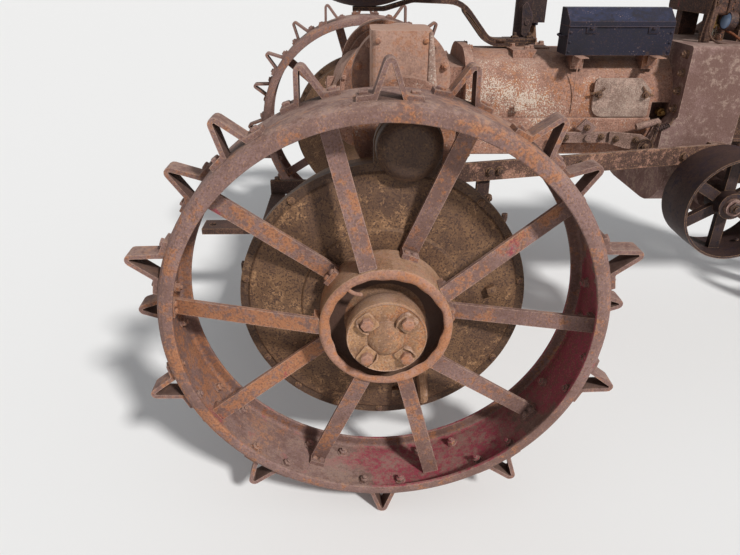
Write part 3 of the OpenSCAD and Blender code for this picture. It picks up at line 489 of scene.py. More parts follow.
def round_axle(station, y, z, radius, angles, way, spin=0.0):
    """Stands fittings on an upright circle, square to the axles."""
    return [at(station + radius * math.cos(a), y, z + radius * math.sin(a), way, spin) for a in angles]


def round_cap(station, y, z, count):
    """Stands the grips of a filler cap round its rim."""
    radius = 40
    return [
        at(station + radius * math.cos(a), y + radius * math.sin(a), z, (math.cos(a), math.sin(a), 0))
        for a in turns(count)]


def deselect():
    if bpy.context.mode != "OBJECT":
        bpy.ops.object.mode_set(mode="OBJECT")
    bpy.ops.object.select_all(action="DESELECT")


def choose(*pieces):
    deselect()
    for piece in pieces:
        piece.select_set(True)
    bpy.context.view_layer.objects.active = pieces[0]


def press(piece, kind, **settings):
    """Adds a modifier and applies it."""
    choose(piece)
    modifier = piece.modifiers.new(kind.title(), kind)
    for key, value in settings.items():
        setattr(modifier, key, value)
    bpy.ops.object.modifier_apply(modifier=modifier.name)
    return piece


def bevelled(piece, width, segments=2):
    return press(piece, "BEVEL", width=width * MM, segments=segments, limit_method="ANGLE")


def faces(piece, test):
    """Goes into edit mode with the faces selected for which test(centre, normal) holds."""
    choose(piece)
    bpy.ops.object.mode_set(mode="EDIT")
    bpy.ops.mesh.select_mode(type="FACE")
    bpy.ops.mesh.select_all(action="DESELECT")
    sheet = bmesh.from_edit_mesh(piece.data)
    for face in sheet.faces:
        face.select_set(bool(test(face.calc_center_median(), face.normal)))
    bmesh.update_edit_mesh(piece.data)


def drum(radius, height, sides=16, base=0.0):
    """A cylinder that stands on z = base, in millimetres."""
    deselect()
    bpy.ops.mesh.primitive_cylinder_add(
        vertices=sides, radius=radius * MM, depth=height * MM, location=(0, 0, (base + height / 2) * MM))
    bpy.ops.object.transform_apply()
    return bpy.context.object


def block(x, y, z, low, bevel=0.0):
    """A box of x, y, z millimetres that starts at low."""
    size = (x * MM, y * MM, z * MM)
    deselect()
    bpy.ops.mesh.primitive_cube_add(
        size=1, scale=size, location=[start * MM + across / 2 for start, across in zip(low, size)])
    bpy.ops.object.transform_apply()
    piece = bpy.context.object
    return bevelled(piece, bevel) if bevel else piece


def top_edge(piece, share, drop):
    """Draws the top face in and raises it, which turns a flat end into a crowned one."""
    high = max(v.co.z for v in piece.data.vertices)
    faces(piece, lambda centre, normal: normal.z > 0.9 and centre.z > high - 1e-6)
    bpy.ops.mesh.inset(thickness=share * MM)
    bpy.ops.transform.translate(value=(0, 0, drop * MM))
    bpy.ops.object.mode_set(mode="OBJECT")
    return piece


def joined(first, *others):
    choose(first, *others)
    bpy.ops.object.join()
    return bpy.context.object


def moved(piece, matrix):
    choose(piece)
    piece.matrix_world = matrix
    bpy.ops.object.transform_apply()
    return piece


def many(piece, matrices):
    """Copies a fitting to each place, every copy with its own mesh, and joins them."""
    copies = []
    for matrix in matrices:
        copy = piece.copy()
        copy.data = piece.data.copy()
        bpy.context.scene.collection.objects.link(copy)
        copy.matrix_world = matrix
        copies.append(copy)
    bpy.data.objects.remove(piece)
    choose(*copies)
    bpy.ops.object.transform_apply()
    if len(copies) > 1:
        bpy.ops.object.join()
    return bpy.context.object


def plate(outline, thickness, bevel=1.5):
    """A flat plate cut to an outline in x and y, standing on z = 0, in millimetres."""
    deselect()
    bpy.ops.mesh.primitive_circle_add(vertices=len(outline), fill_type="NGON")
    piece = bpy.context.object
    for corner, (x, y) in zip(piece.data.vertices, outline):
        corner.co = (x * MM, y * MM, 0)
    faces(piece, lambda centre, normal: True)
    bpy.ops.mesh.extrude_region_move(TRANSFORM_OT_translate={"value": (0, 0, thickness * MM)})
    bpy.ops.mesh.select_all(action="SELECT")
    bpy.ops.mesh.normals_make_consistent(inside=False)
    bpy.ops.object.mode_set(mode="OBJECT")
    return bevelled(piece, bevel) if bevel else piece


def rod(points, radius, smooth=True, sides=3):
    """A bent rod or pipe through points given in metres."""
    deselect()
    bpy.ops.curve.primitive_nurbs_path_add()
    piece = bpy.context.object
    splines = piece.data.splines
    missing = len(points) - len(splines[0].points)
    if missing > 0:
        splines[0].points.add(missing)
    elif missing < 0:
        splines.clear()
        splines.new("NURBS").points.add(len(points) - 1)
    spline = splines[0]
    for point, place in zip(spline.points, points):
        point.co = (*place, 1.0)
    spline.order_u = 3 if smooth and len(points) > 2 else 2
    spline.use_endpoint_u = True
    spline.resolution_u = 6
    piece.data.bevel_depth = radius * MM
    piece.data.bevel_resolution = sides
    piece.data.use_fill_caps = True
    piece.location = (0, 0, 0)
    bpy.ops.object.convert(target="MESH")
    bpy.ops.object.transform_apply()
    return bpy.context.object


def pipe(places, radius, smooth=True, sides=3):
    """A bent rod or pipe through spots."""
    return rod([spot(*place) for place in places], radius, smooth, sides)


def coil(start, end, radius, wire, rounds):
    """A wound spring between two places."""
    axis = end - start
    turn = axis.to_track_quat("Z", "Y").to_matrix()
    corners = 10
    points = []
    for i in range(rounds * corners + 1):
        a = 2 * math.pi * i / corners
        along = axis.length * i / (rounds * corners)
        points.append(start + turn @ Vector((radius * MM * math.cos(a), radius * MM * math.sin(a), along)))
    return rod(points, wire, sides=2)


def hex_bolt(across, height, stub=0.0, washer=True):
    """A hexagon head or nut on its washer, with the thread showing when there is a stub."""
    corner_radius = across / 2 / math.cos(math.pi / 6)
    washer_radius, washer_height, sunk = across * 0.72, 2.6, 2.0
    head = drum(corner_radius, height, 6, sunk if washer else 0.0)
    parts = [top_edge(head, across * 0.09, height * 0.12)]
    if washer:
        parts.append(bevelled(drum(washer_radius, washer_height, 20), 0.6, 1))
    if stub:
        parts.append(top_edge(drum(across * 0.30, stub, 12, height + sunk), 1.2, 1.0))
    return joined(*parts)


def square_bolt(across, height):
    head = block(across, across, height, (-across / 2, -across / 2, 0), bevel=1.6)
    return top_edge(head, across * 0.12, height * 0.12)


def rivet(radius, height):
    """A round rivet head, hammered a little flat."""
    head = drum(radius, height * 0.35, 14)
    top_edge(head, radius * 0.16, height * 0.35)
    top_edge(head, radius * 0.26, height * 0.20)
    return top_edge(head, radius * 0.28, height * 0.08)


def settle(piece, name, slot, body="tractor", look=None):
    """Names the finished piece and gives it its finish and the body that it rides on."""
    choose(piece)
    bpy.ops.object.shade_smooth_by_angle(angle=SMOOTH_ANGLE)
    piece.name = name
    piece.data.name = name
    piece.data.materials.clear()
    piece.data.materials.append(MATERIALS[look or slot])
    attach(piece, body)


class TRACTOR_OT_finishes(Operator):
    """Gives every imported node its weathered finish"""
    bl_idname = "tractor.finishes"
    bl_label = "Finishes"

    def execute(self, context):
        make_materials(context.scene.tractor_finish)
        slots = {part["node"]: part["material_slot"] for part in frame["record"]["subparts"]}
        for node, thing in frame["nodes"].items():
            for slot in thing.material_slots:
                slot.material = MATERIALS[OWN_FINISH.get(node, slots[node])]
        return {"FINISHED"}


class TRACTOR_OT_stage(Operator):
    """Sets the floor, the lamps and the camera"""
    bl_idname = "tractor.stage"
    bl_label = "Stage"

    def execute(self, context):
        stage = context.scene.tractor_stage
        self.camera(context, stage)
        self.floor(stage)
        self.sun(context, stage)
        self.world(context, stage)
        context.scene.view_settings.view_transform = "Standard"
        return {"FINISHED"}

    def camera(self, context, stage):
        data = bpy.data.cameras.new("Camera")
        data.lens = stage.lens
        data.clip_end = 100
        camera = bpy.data.objects.new("Camera", data)
        context.scene.collection.objects.link(camera)
        forward = Vector((math.sin(stage.yaw) * math.cos(stage.pitch),
                          math.cos(stage.yaw) * math.cos(stage.pitch), -math.sin(stage.pitch)))
        level_right = Vector((math.cos(stage.yaw), -math.sin(stage.yaw), 0))
        upright = level_right.cross(forward)
        right = math.cos(stage.roll) * level_right + math.sin(stage.roll) * upright
        up = math.cos(stage.roll) * upright - math.sin(stage.roll) * level_right
        place = Vector((AXLE_X - stage.camera_x, -stage.camera_y, stage.camera_z))
        turn = Matrix((right, up, -forward)).transposed()
        camera.matrix_world = Matrix.Translation(place) @ turn.to_4x4()
        context.scene.camera = camera

    def floor(self, stage):
        deselect()
        bpy.ops.mesh.primitive_plane_add(size=60, location=(0, 0, 0))
        floor = bpy.context.object
        floor.name = "floor"
        material = bpy.data.materials.new("Floor")
        material.use_nodes = True
        surface = material.node_tree.nodes["Principled BSDF"]
        surface.inputs["Base Color"].default_value = (*stage.floor, 1)
        surface.inputs["Roughness"].default_value = 0.9
        floor.data.materials.append(material)

    def sun(self, context, stage):
        """One broad key from the photograph's side of the sun."""
        data = bpy.data.lights.new("Key", "SUN")
        data.energy = stage.sun
        data.angle = stage.sun_size
        lamp = bpy.data.objects.new("Key", data)
        context.scene.collection.objects.link(lamp)
        lamp.rotation_euler = SUN_WAY.to_track_quat("-Z", "Y").to_euler()

    def world(self, context, stage):
        """Even light on the tractor, and the floor's colour where the camera sees the backdrop."""
        world = bpy.data.worlds.new("World")
        world.use_nodes = True
        nodes, links = world.node_tree.nodes, world.node_tree.links
        light = nodes["Background"]
        light.inputs["Color"].default_value = SKY_COLOUR
        light.inputs["Strength"].default_value = stage.sky
        backdrop = nodes.new("ShaderNodeBackground")
        backdrop.inputs["Color"].default_value = (*stage.floor, 1)
        backdrop.inputs["Strength"].default_value = 1.0
        path = nodes.new("ShaderNodeLightPath")
        seen = path.outputs["Is Camera Ray"]
        for ray in ("Is Glossy Ray", "Is Transmission Ray"):
            either = nodes.new("ShaderNodeMath")
            either.operation = "MAXIMUM"
            links.new(seen, either.inputs[0])
            links.new(path.outputs[ray], either.inputs[1])
            seen = either.outputs[0]
        choice = nodes.new("ShaderNodeMixShader")
        for number, output in enumerate((seen, light.outputs[0], backdrop.outputs[0])):
            links.new(output, choice.inputs[number])
        links.new(choice.outputs[0], nodes["World Output"].inputs["Surface"])
        context.scene.world = world


class TRACTOR_OT_lug_bolts(Operator):
    """Bolts every lug through its two feet, with nuts inside the rim"""
    bl_idname = "tractor.lug_bolts"
    bl_label = "Lug bolts"

    def execute(self, context):
        sizes = context.scene.tractor_fittings
        step = 360 / sizes.lug_count
        head_radius, nut_radius, foot_turn = 517, 498.5, 5.6
        for side in SIDES:
            heads, nuts = [], []
            for row, out in enumerate((sizes.lug_row / MM, -sizes.lug_row / MM)):
                for i in range(sizes.lug_count):
                    angle = 90 + step * (i + row / 2)
                    for foot in (angle - foot_turn, angle + foot_turn):
                        heads.append(standing(
                            wheel_spot(side, head_radius, foot, out), wheel_way(angle), 17 * i))
                        nuts.append(standing(
                            wheel_spot(side, nut_radius, foot, out), -wheel_way(foot), 31 * i))
            body = "rear_wheel_" + side
            settle(many(square_bolt(18, 7), heads), "lug_bolt_heads_" + side, "rim_steel", body)
            settle(many(hex_bolt(19, 9, 6), nuts), "lug_nuts_" + side, "rim_steel", body)
        return {"FINISHED"}


class TRACTOR_OT_spoke_rivets(Operator):
    """Rivets the feet of every spoke to the ring and to the rim"""
    bl_idname = "tractor.spoke_rivets"
    bl_label = "Spoke rivets"

    def execute(self, context):
        ring_radius, ring_aside = 164, 3.2
        rim_radius, rim_aside = 486.8, 1.15
        for side in SIDES:
            heads = []
            for i in range(SPOKES):
                angle = 360 / SPOKES * i + SPOKE_TURN
                way = wheel_way(angle)
                ring_out, rim_out = (42, 5) if i % 2 else (1, 17)
                for aside in (-ring_aside, ring_aside):
                    heads.append(standing(wheel_spot(side, ring_radius, angle + aside, ring_out), way))
                for aside in (-rim_aside, rim_aside):
                    heads.append(standing(wheel_spot(side, rim_radius, angle + aside, rim_out), -way))
            settle(many(rivet(8, 6), heads), "spoke_rivets_" + side, "spoke_steel", "rear_wheel_" + side)
        return {"FINISHED"}


class TRACTOR_OT_hub_nuts(Operator):
    """Puts the nuts and their locking tabs on each hub cap, and the worn lip round its ring"""
    bl_idname = "tractor.hub_nuts"
    bl_label = "Hub nuts"

    def worn_lip(self):
        """A flat lip round the ring's mouth, its inner edge broken away in places."""
        ring, half_width = 139 * MM, 12 * MM
        deselect()
        bpy.ops.mesh.primitive_torus_add(
            major_segments=96, minor_segments=12, major_radius=ring, minor_radius=half_width)
        lip = bpy.context.object
        for corner in lip.data.vertices:
            radius = math.hypot(corner.co.x, corner.co.y)
            turn = math.atan2(corner.co.y, corner.co.x)
            worn = math.sin(3 * turn + 1) + math.sin(7 * turn) * 0.6 + math.sin(17 * turn + 2) * 0.5
            inner = max(0.0, (ring - radius) / half_width)
            pull = 1 + inner * (worn * 2.4 + 1.5) * MM / radius
            corner.co = (corner.co.x * pull, corner.co.y * pull, corner.co.z * 0.42)
        return lip

    def tab(self):
        """A bent tab that locks a nut: its flat foot, and the edge turned up beside the nut."""
        foot = [(-23, -16), (-17, -20), (17, -19), (21, -13), (20, 15), (13, 20), (-14, 19), (-22, 13)]
        edge = [(-22, 12), (-18, 18), (-8, 22), (6, 22), (14, 19), (13, 16), (4, 18), (-8, 18), (-17, 14)]
        return joined(plate(foot, 8, 1.4), plate(edge, 15, 1.0))

    def execute(self, context):
        slot = "orange_casting"
        cap_face, ring_face, lip_face = 110.5, 74, 108.6
        nut_circle, tab_circle = 63, 62
        for side, outward in OUTWARD.items():
            body = "rear_wheel_" + side
            nuts, tabs = [], []
            for i, skew in enumerate((4, -6, 9, -3)):
                angle = 45 + 90 * i
                flat = angle if side == "right" else 180 - angle
                nuts.append(standing(
                    wheel_spot(side, nut_circle, angle, cap_face + 7), outward, 14 + 23 * i))
                tabs.append(standing(wheel_spot(side, tab_circle, angle, cap_face), outward, flat + skew))
            nut = top_edge(bevelled(drum(14.5, 15, 6), 1.2), 2.0, 1.0)
            settle(many(nut, nuts), "hub_nuts_" + side, slot, body)
            settle(many(self.tab(), tabs), "hub_nut_tabs_" + side, slot, body, look="tab_steel")
            lip = moved(top_edge(drum(88, 5, 72), 6, -3.5),
                        standing(wheel_spot(side, 0, 0, lip_face), outward))
            settle(lip, "hub_cap_lip_" + side, slot, body, look="hub_casting")
            worn = moved(self.worn_lip(), standing(wheel_spot(side, 0, 0, ring_face), outward))
            settle(worn, "hub_ring_lip_" + side, slot, body)
            bend = ((137, 131, 64), (128, 129, 74), (116, 126, 78), (106, 121, 74))
            tongue = rod([wheel_spot(side, *place) for place in bend], 4.5)
            settle(tongue, "hub_tongue_" + side, slot, body)
        return {"FINISHED"}


class TRACTOR_OT_drop_bolts(Operator):
    """Bolts the flange of each gear drop and adds its plugs and its lower rib"""
    bl_idname = "tractor.drop_bolts"
    bl_label = "Gear drop bolts"

    def execute(self, context):
        slot = "greasy_casting"
        dome, flange_front, flange_back = -44, -59.5, -85.3
        count = context.scene.tractor_fittings.ring_bolts
        angles = [9 + 360 * i / count for i in range(count)]
        # The upper boss leaves no room for bolts near the top.
        for side, outward in OUTWARD.items():
            front = [standing(wheel_spot(side, 335, angle, flange_front), outward, 11 * i)
                     for i, angle in enumerate(angles) if not 62 < angle < 104]
            settle(many(hex_bolt(13, 5), front), "drop_ring_bolts_" + side, slot, look="engine_iron")
            back = [standing(wheel_spot(side, 336, angle, flange_back), -outward, 17 * i)
                    for i, angle in enumerate(angles) if not 55 < angle < 110]
            settle(many(hex_bolt(13, 8, 5), back), "drop_ring_nuts_" + side, slot)
            bend = ((200, -62, -47), (230, -64, -43), (290, -68, -47), (326, -70, -56))
            rib = rod([wheel_spot(side, *place) for place in bend], 14)
            settle(rib, "drop_lower_rib_" + side, slot, look="tab_steel")
            plugs = [standing(wheel_spot(side, 262, 8, dome), outward, 20),
                     standing(wheel_spot(side, 268, 278, dome), outward)]
            settle(many(square_bolt(22, 14), plugs), "drop_plugs_" + side, slot)
        return {"FINISHED"}


class TRACTOR_OT_gearbox_fittings(Operator):
    """Bolts along the gearbox, its plugs, the wing nuts of the hand hole and the shift lever's boot"""
    bl_idname = "tractor.gearbox_fittings"
    bl_label = "Gearbox fittings"

    def axle_flanges(self):
        """Bolts at both ends of the axle tubes."""
        for side, s in SIDES.items():
            for end, radius, y, way, count, across in (
                    ("inner", 150.5, 300.8, s, 10, 12), ("outer", 105, 735.2, -s, 6, 15)):
                ring = round_axle(TUBE_STATION, s * y, TUBE_Z, radius, turns(count, 18), LEFT * way, 20)
                settle(many(hex_bolt(across, 7, washer=False), ring), f"axle_flange_bolts_{end}_{side}",
                       "rusty_casting")

    def execute(self, context):
        slot = "rusty_casting"
        wall, cover_z = 201, 1068
        rear_flange, rear_y = 319, 197
        clutch_flange, clutch_y = 967, 225
        flange = [at(rear_flange, s * rear_y, z, AHEAD, 20) for s in BOTH for z in (770, 850, 915, 975)]
        flange += [at(rear_flange, y, 1069, AHEAD) for y in (-50, 50)]
        settle(many(hex_bolt(14, 9), flange), "gearbox_flange_bolts", slot)
        corner = [at(clutch_flange, s * clutch_y, z, BACK, 9) for s in BOTH for z in (905, 960, 1015, 1070)]
        settle(many(hex_bolt(19, 11, 6), corner), "clutch_flange_bolts", "engine_iron")
        wings = [at(x, -199, 944, RIGHT, spin) for x, spin in ((721, 20), (873, -35))]
        wing_shape = [(-6, 4), (-24, 9), (-25, 16), (-8, 12), (8, 12), (25, 16), (24, 9), (6, 4)]
        wing = joined(drum(11, 8), top_edge(drum(7, 15, 12), 1, 1), plate(wing_shape, 5, 1.2))
        settle(many(wing, wings), "hand_hole_wing_nuts", "engine_iron")
        plugs = [at(640, -wall, 780, RIGHT, 30), at(460, -wall, 905, RIGHT, 10)]
        plugs.append(at(540, wall, 800, LEFT, 30))
        settle(many(square_bolt(20, 12), plugs), "gearbox_plugs", slot)
        grease = joined(drum(13, 20, 24), top_edge(drum(8, 34, 6), 1, 1))
        settle(moved(grease, at(945, -166, 884, RIGHT)), "pocket_grease_plug", "brass")
        tops = [at(x, y, cover_z, UP, 13 * k) for k, (x, y) in enumerate(
            ((470, 128), (585, 128), (585, 40), (470, -26), (520, -70), (500, -95)))]
        settle(many(hex_bolt(16, 8), tops), "cover_plate_bolts", slot)
        self.axle_flanges()
        cover = top_edge(bevelled(drum(64, 30, 48, -16), 3), 10, 3)
        circle, face = 50 * MM, 14 * MM
        bolts = many(hex_bolt(12, 6, washer=False), [
            Matrix.Translation((circle * math.cos(a), circle * math.sin(a), face)) for a in turns(6)])
        settle(moved(joined(cover, bolts), at(-140, 0, 905, BACK)), "gearbox_rear_cover", slot)
        boot = top_edge(drum(24, 22, 24), 6, 10)
        settle(moved(boot, level(562, 112, 1124)), "shift_lever_boot", "black_sheet")
        seam = plate([(0, 0), (3, 0), (3, 150), (0, 150)], 3, 1)
        settle(moved(seam, at(640, -190.5, 884, RIGHT)), "gearbox_seam", slot)
        return {"FINISHED"}


class TRACTOR_OT_toolbox_fittings(Operator):
    """Hasps, hinge leaves, end handle and rivets of the toolbox"""
    bl_idname = "tractor.toolbox_fittings"
    bl_label = "Toolbox fittings"

    def execute(self, context):
        slot = "black_sheet"
        front, hinge_y = -190, -100
        lid_line, floor_z = 1142, 1062
        hasp = joined(block(32, 20, 3, (-16, -4, 0), 1), block(12, 5, 9, (-6, -2, 0), 1))
        settle(many(hasp, [at(x, front, lid_line, RIGHT, 180) for x in (668, 862)]), "toolbox_hasps", slot)
        leaf = block(36, 38, 2, (-18, -19, 0), 0.8)
        settle(many(leaf, [at(x, hinge_y, 1126, LEFT) for x in (663, 863)]), "toolbox_hinge_leaves", slot)
        rivets = [at(x, front, z, RIGHT) for x in (606, 920) for z in (1072, 1100, 1128)]
        settle(many(rivet(4, 3), rivets), "toolbox_rivets", slot)
        foot = joined(block(30, 60, 3, (-15, 0, -3), 1), block(30, 3, 30, (-15, -1, -32), 1))
        settle(many(foot, [at(x, -184, floor_z, UP) for x in (640, 880)]), "toolbox_feet", "rusty_casting")
        handle = pipe([(598, -172, 1118), (588, -171, 1118), (584, -160, 1116), (584, -130, 1116),
                       (588, -119, 1118), (598, -118, 1118)], 3)
        settle(handle, "toolbox_handle", slot)
        bead = pipe([(600, front - 2, 1146), (926, front - 2, 1146)], 2.2, smooth=False)
        settle(bead, "toolbox_rim_bead", slot)
        return {"FINISHED"}


class TRACTOR_OT_linkage_fittings(Operator):
    """Bolts, spring and rods of the control linkage on the gearbox's side"""
    bl_idname = "tractor.linkage_fittings"
    bl_label = "Linkage fittings"

    def execute(self, context):
        slot = "frame_steel"
        bolts = [at(x, y, z, RIGHT, spin) for x, y, z, spin in (
            (620, -245, 818, 5), (735, -245, 820, 20), (780, -255, 815, 0), (845, -255, 812, 40),
            (900, -255, 786, 12), (684, -246, 850, 33))]
        settle(many(hex_bolt(15, 8, 5), bolts), "linkage_bolts", slot)
        pivot_x, pivot_z = 868, 797
        washer = moved(top_edge(drum(24, 9, 28), 6, -4), at(pivot_x, -274, pivot_z, RIGHT))
        settle(washer, "linkage_pivot_washer", slot)
        nut = moved(hex_bolt(20, 10, 6), at(pivot_x, -275, pivot_z, RIGHT, 15))
        settle(nut, "linkage_pivot_nut", slot)
        hook = ((944, -258, 862), (952, -256, 868), (962, -240, 876))
        spring = coil(spot(900, -262, 846), spot(*hook[0]), 8, 1.6, 6)
        settle(spring, "linkage_spring", "steering_steel")
        settle(pipe(hook, 4), "linkage_spring_hook", slot)
        arm = pipe([(885, -268, 760), (892, -268, 790), (904, -262, 830), (912, -252, 862)], 6)
        settle(arm, "linkage_arm_rod", slot)
        lower = pipe([(860, -262, 790), (858, -262, 762), (846, -258, 742), (836, -240, 724)], 9)
        settle(lower, "linkage_lower_arm", slot)
        return {"FINISHED"}


class TRACTOR_OT_rail_fittings(Operator):
    """Bolts of the side rails, frame channels and hanger, and the hook below them"""
    bl_idname = "tractor.rail_fittings"
    bl_label = "Rail fittings"

    def execute(self, context):
        slot = "frame_steel"
        rail_start, rail_slope, rail_z = 540, 0.226, 777
        channel_y = 195
        lean = math.atan(rail_slope)
        for side, s in SIDES.items():
            outward = Vector((math.sin(lean), s * math.cos(lean), 0))
            bolts = [at(x, s * (rail_start - rail_slope * x), rail_z, outward, 9 * x)
                     for x in (30, 70, 330, 360, 620, 980)]
            settle(many(hex_bolt(18, 9), bolts), "side_rail_bolts_" + side, slot)
            ends = [at(x, s * channel_y, z, OUTWARD[side])
                    for x in (1185, 1235, 1690, 2060, 2110) for z in (725, 775)]
            settle(many(rivet(9, 7), ends), "channel_rivets_" + side, slot)
        hook = pipe([(330, -470, 662), (332, -472, 640), (340, -474, 622), (358, -476, 612),
                     (378, -478, 616), (388, -478, 632), (386, -478, 648)], 9)
        settle(hook, "hanger_hook", slot)
        bolts = [at(330, -478, z, (0.22, -0.97, 0), 20) for z in (672, 700)]
        settle(many(hex_bolt(18, 9, 8), bolts), "hanger_bolts", slot)
        return {"FINISHED"}


class TRACTOR_OT_brake_fittings(Operator):
    """Bolts and rivets of the right brake drum and its box, and the box's cast front corner, whitish as a
    painted highlight
    """
    bl_idname = "tractor.brake_fittings"
    bl_label = "Brakes"

    def execute(self, context):
        slot = "orange_casting"
        station, z = 52, 1063
        outer_face, inner_face, box_face = -600, -538, -727
        angles = turns(12, 15)
        beside_box = [a for a in angles if abs(math.cos(a)) > 0.6]
        ring = round_axle(station, outer_face, z, 112, beside_box, RIGHT)
        ring += round_axle(station, inner_face, z, 92, angles, LEFT)
        settle(many(hex_bolt(15, 7, 4), ring), "brake_drum_bolts_right", slot)
        cover = [at(x, box_face, z, RIGHT, 10) for x in (-12, 96) for z in (1004, 1164)]
        settle(many(rivet(7, 4), cover), "brake_box_rivets_right", slot)
        # The corner's whitish colour is a painted highlight where its rounded edge catches the light.
        corner = bevelled(plate([(0, -15), (30, -15), (26, 40), (9, 184), (0, 184)], 84, 0), 6, 3)
        corner = moved(corner, at(103, -645, 1000, RIGHT))
        settle(corner, "brake_box_corner_right", slot, look="lit_corner_casting")
        return {"FINISHED"}


class TRACTOR_OT_seat_fittings(Operator):
    """The rolled rim of the seat pan, its bolts, and the bolts and strap of the spring"""
    bl_idname = "tractor.seat_fittings"
    bl_label = "Seat fittings"

    def rolled_rim(self):
        """A bead that follows the edge of the dish, which is part of a tilted bowl."""
        bowl, along, across, bead = 297.5 * MM, 214 * MM, 239.5 * MM, 0.28
        deselect()
        bpy.ops.mesh.primitive_torus_add(
            major_segments=72, minor_segments=10, major_radius=1.0, minor_radius=0.02)
        rim = bpy.context.object
        for corner in rim.data.vertices:
            turn = math.atan2(corner.co.y, corner.co.x)
            out = math.hypot(corner.co.x, corner.co.y) - 1.0
            edge = Vector((math.cos(turn) * along, math.sin(turn) * across, 0))
            fall = math.sqrt(bowl ** 2 - edge.length ** 2)
            height = corner.co.z * bead - fall
            corner.co = edge * (1 + out * bead / edge.length) + UP * height
        centre = spot(-25, 0, 300)
        centre.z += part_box("seat")[0][2]
        return moved(rim, Matrix.Translation(centre) @ Matrix.Rotation(math.radians(6), 4, "Y"))

    def execute(self, context):
        spring_top, pan_z = 1084.5, 1193.5
        settle(self.rolled_rim(), "seat_rolled_rim", "black_sheet", look="steering_steel")
        bolts = [at(x, 0, pan_z, UP, 20) for x in (-45, -5)]
        settle(many(rivet(13, 8), bolts), "seat_bolts", "black_sheet", look="steering_steel")
        clamps = [at(x, 0, spring_top, UP, 15) for x in (480, 530)]
        settle(many(hex_bolt(22, 12, 10), clamps), "seat_spring_bolts", "frame_steel")
        strap = block(30, 66, 6, (-15, -33, 0), 1.5)
        settle(moved(strap, level(430, 0, spring_top)), "seat_spring_strap", "frame_steel")
        return {"FINISHED"}


class TRACTOR_OT_steering_fittings(Operator):
    """Hub nut and finger bumps of the steering wheel, the shaft's collars and its brackets' feet"""
    bl_idname = "tractor.steering_fittings"
    bl_label = "Steering fittings"

    def execute(self, context):
        slot = "steering_steel"
        wheel, gear = spot(250, 0, 1460), spot(2139, 0, 1330)
        way = (gear - wheel).normalized()
        turn = way.to_track_quat("Z", "Y").to_matrix()
        nut_back, grip_radius = 40 * MM, 204.5 * MM
        nut = moved(hex_bolt(26, 14, 8), standing(wheel - way * nut_back, -way))
        settle(nut, "steering_wheel_nut", slot, "steering")
        bumps = []
        for a in turns(24):
            place = wheel + turn @ Vector((grip_radius * math.cos(a), grip_radius * math.sin(a), 0))
            bumps.append(Matrix.Translation(place) @ turn.to_4x4() @ Matrix.Rotation(a, 4, "Z"))
        bump = press(block(7, 20, 18, (-3.5, -10, -9), 3.4), "SUBSURF", levels=1, render_levels=1)
        settle(many(bump, bumps), "steering_wheel_grips", slot, "steering")
        collar = joined(bevelled(drum(19, 26, 24, -13), 2),
                        moved(square_bolt(9, 8), standing(LEFT * 18 * MM, LEFT)))
        collars = [standing(wheel + way * distance, way) for distance in (0.30, 0.86, 1.44)]
        settle(many(collar, collars), "steering_shaft_collars", slot, "steering")
        foot = joined(block(44, 20, 6, (-22, -10, -4), 1.5), hex_bolt(13, 7))
        feet = [at(x, s * 34, 1301, UP, 20) for x in (1150, 1744) for s in BOTH]
        settle(many(foot, feet), "steering_bracket_feet", slot)
        return {"FINISHED"}


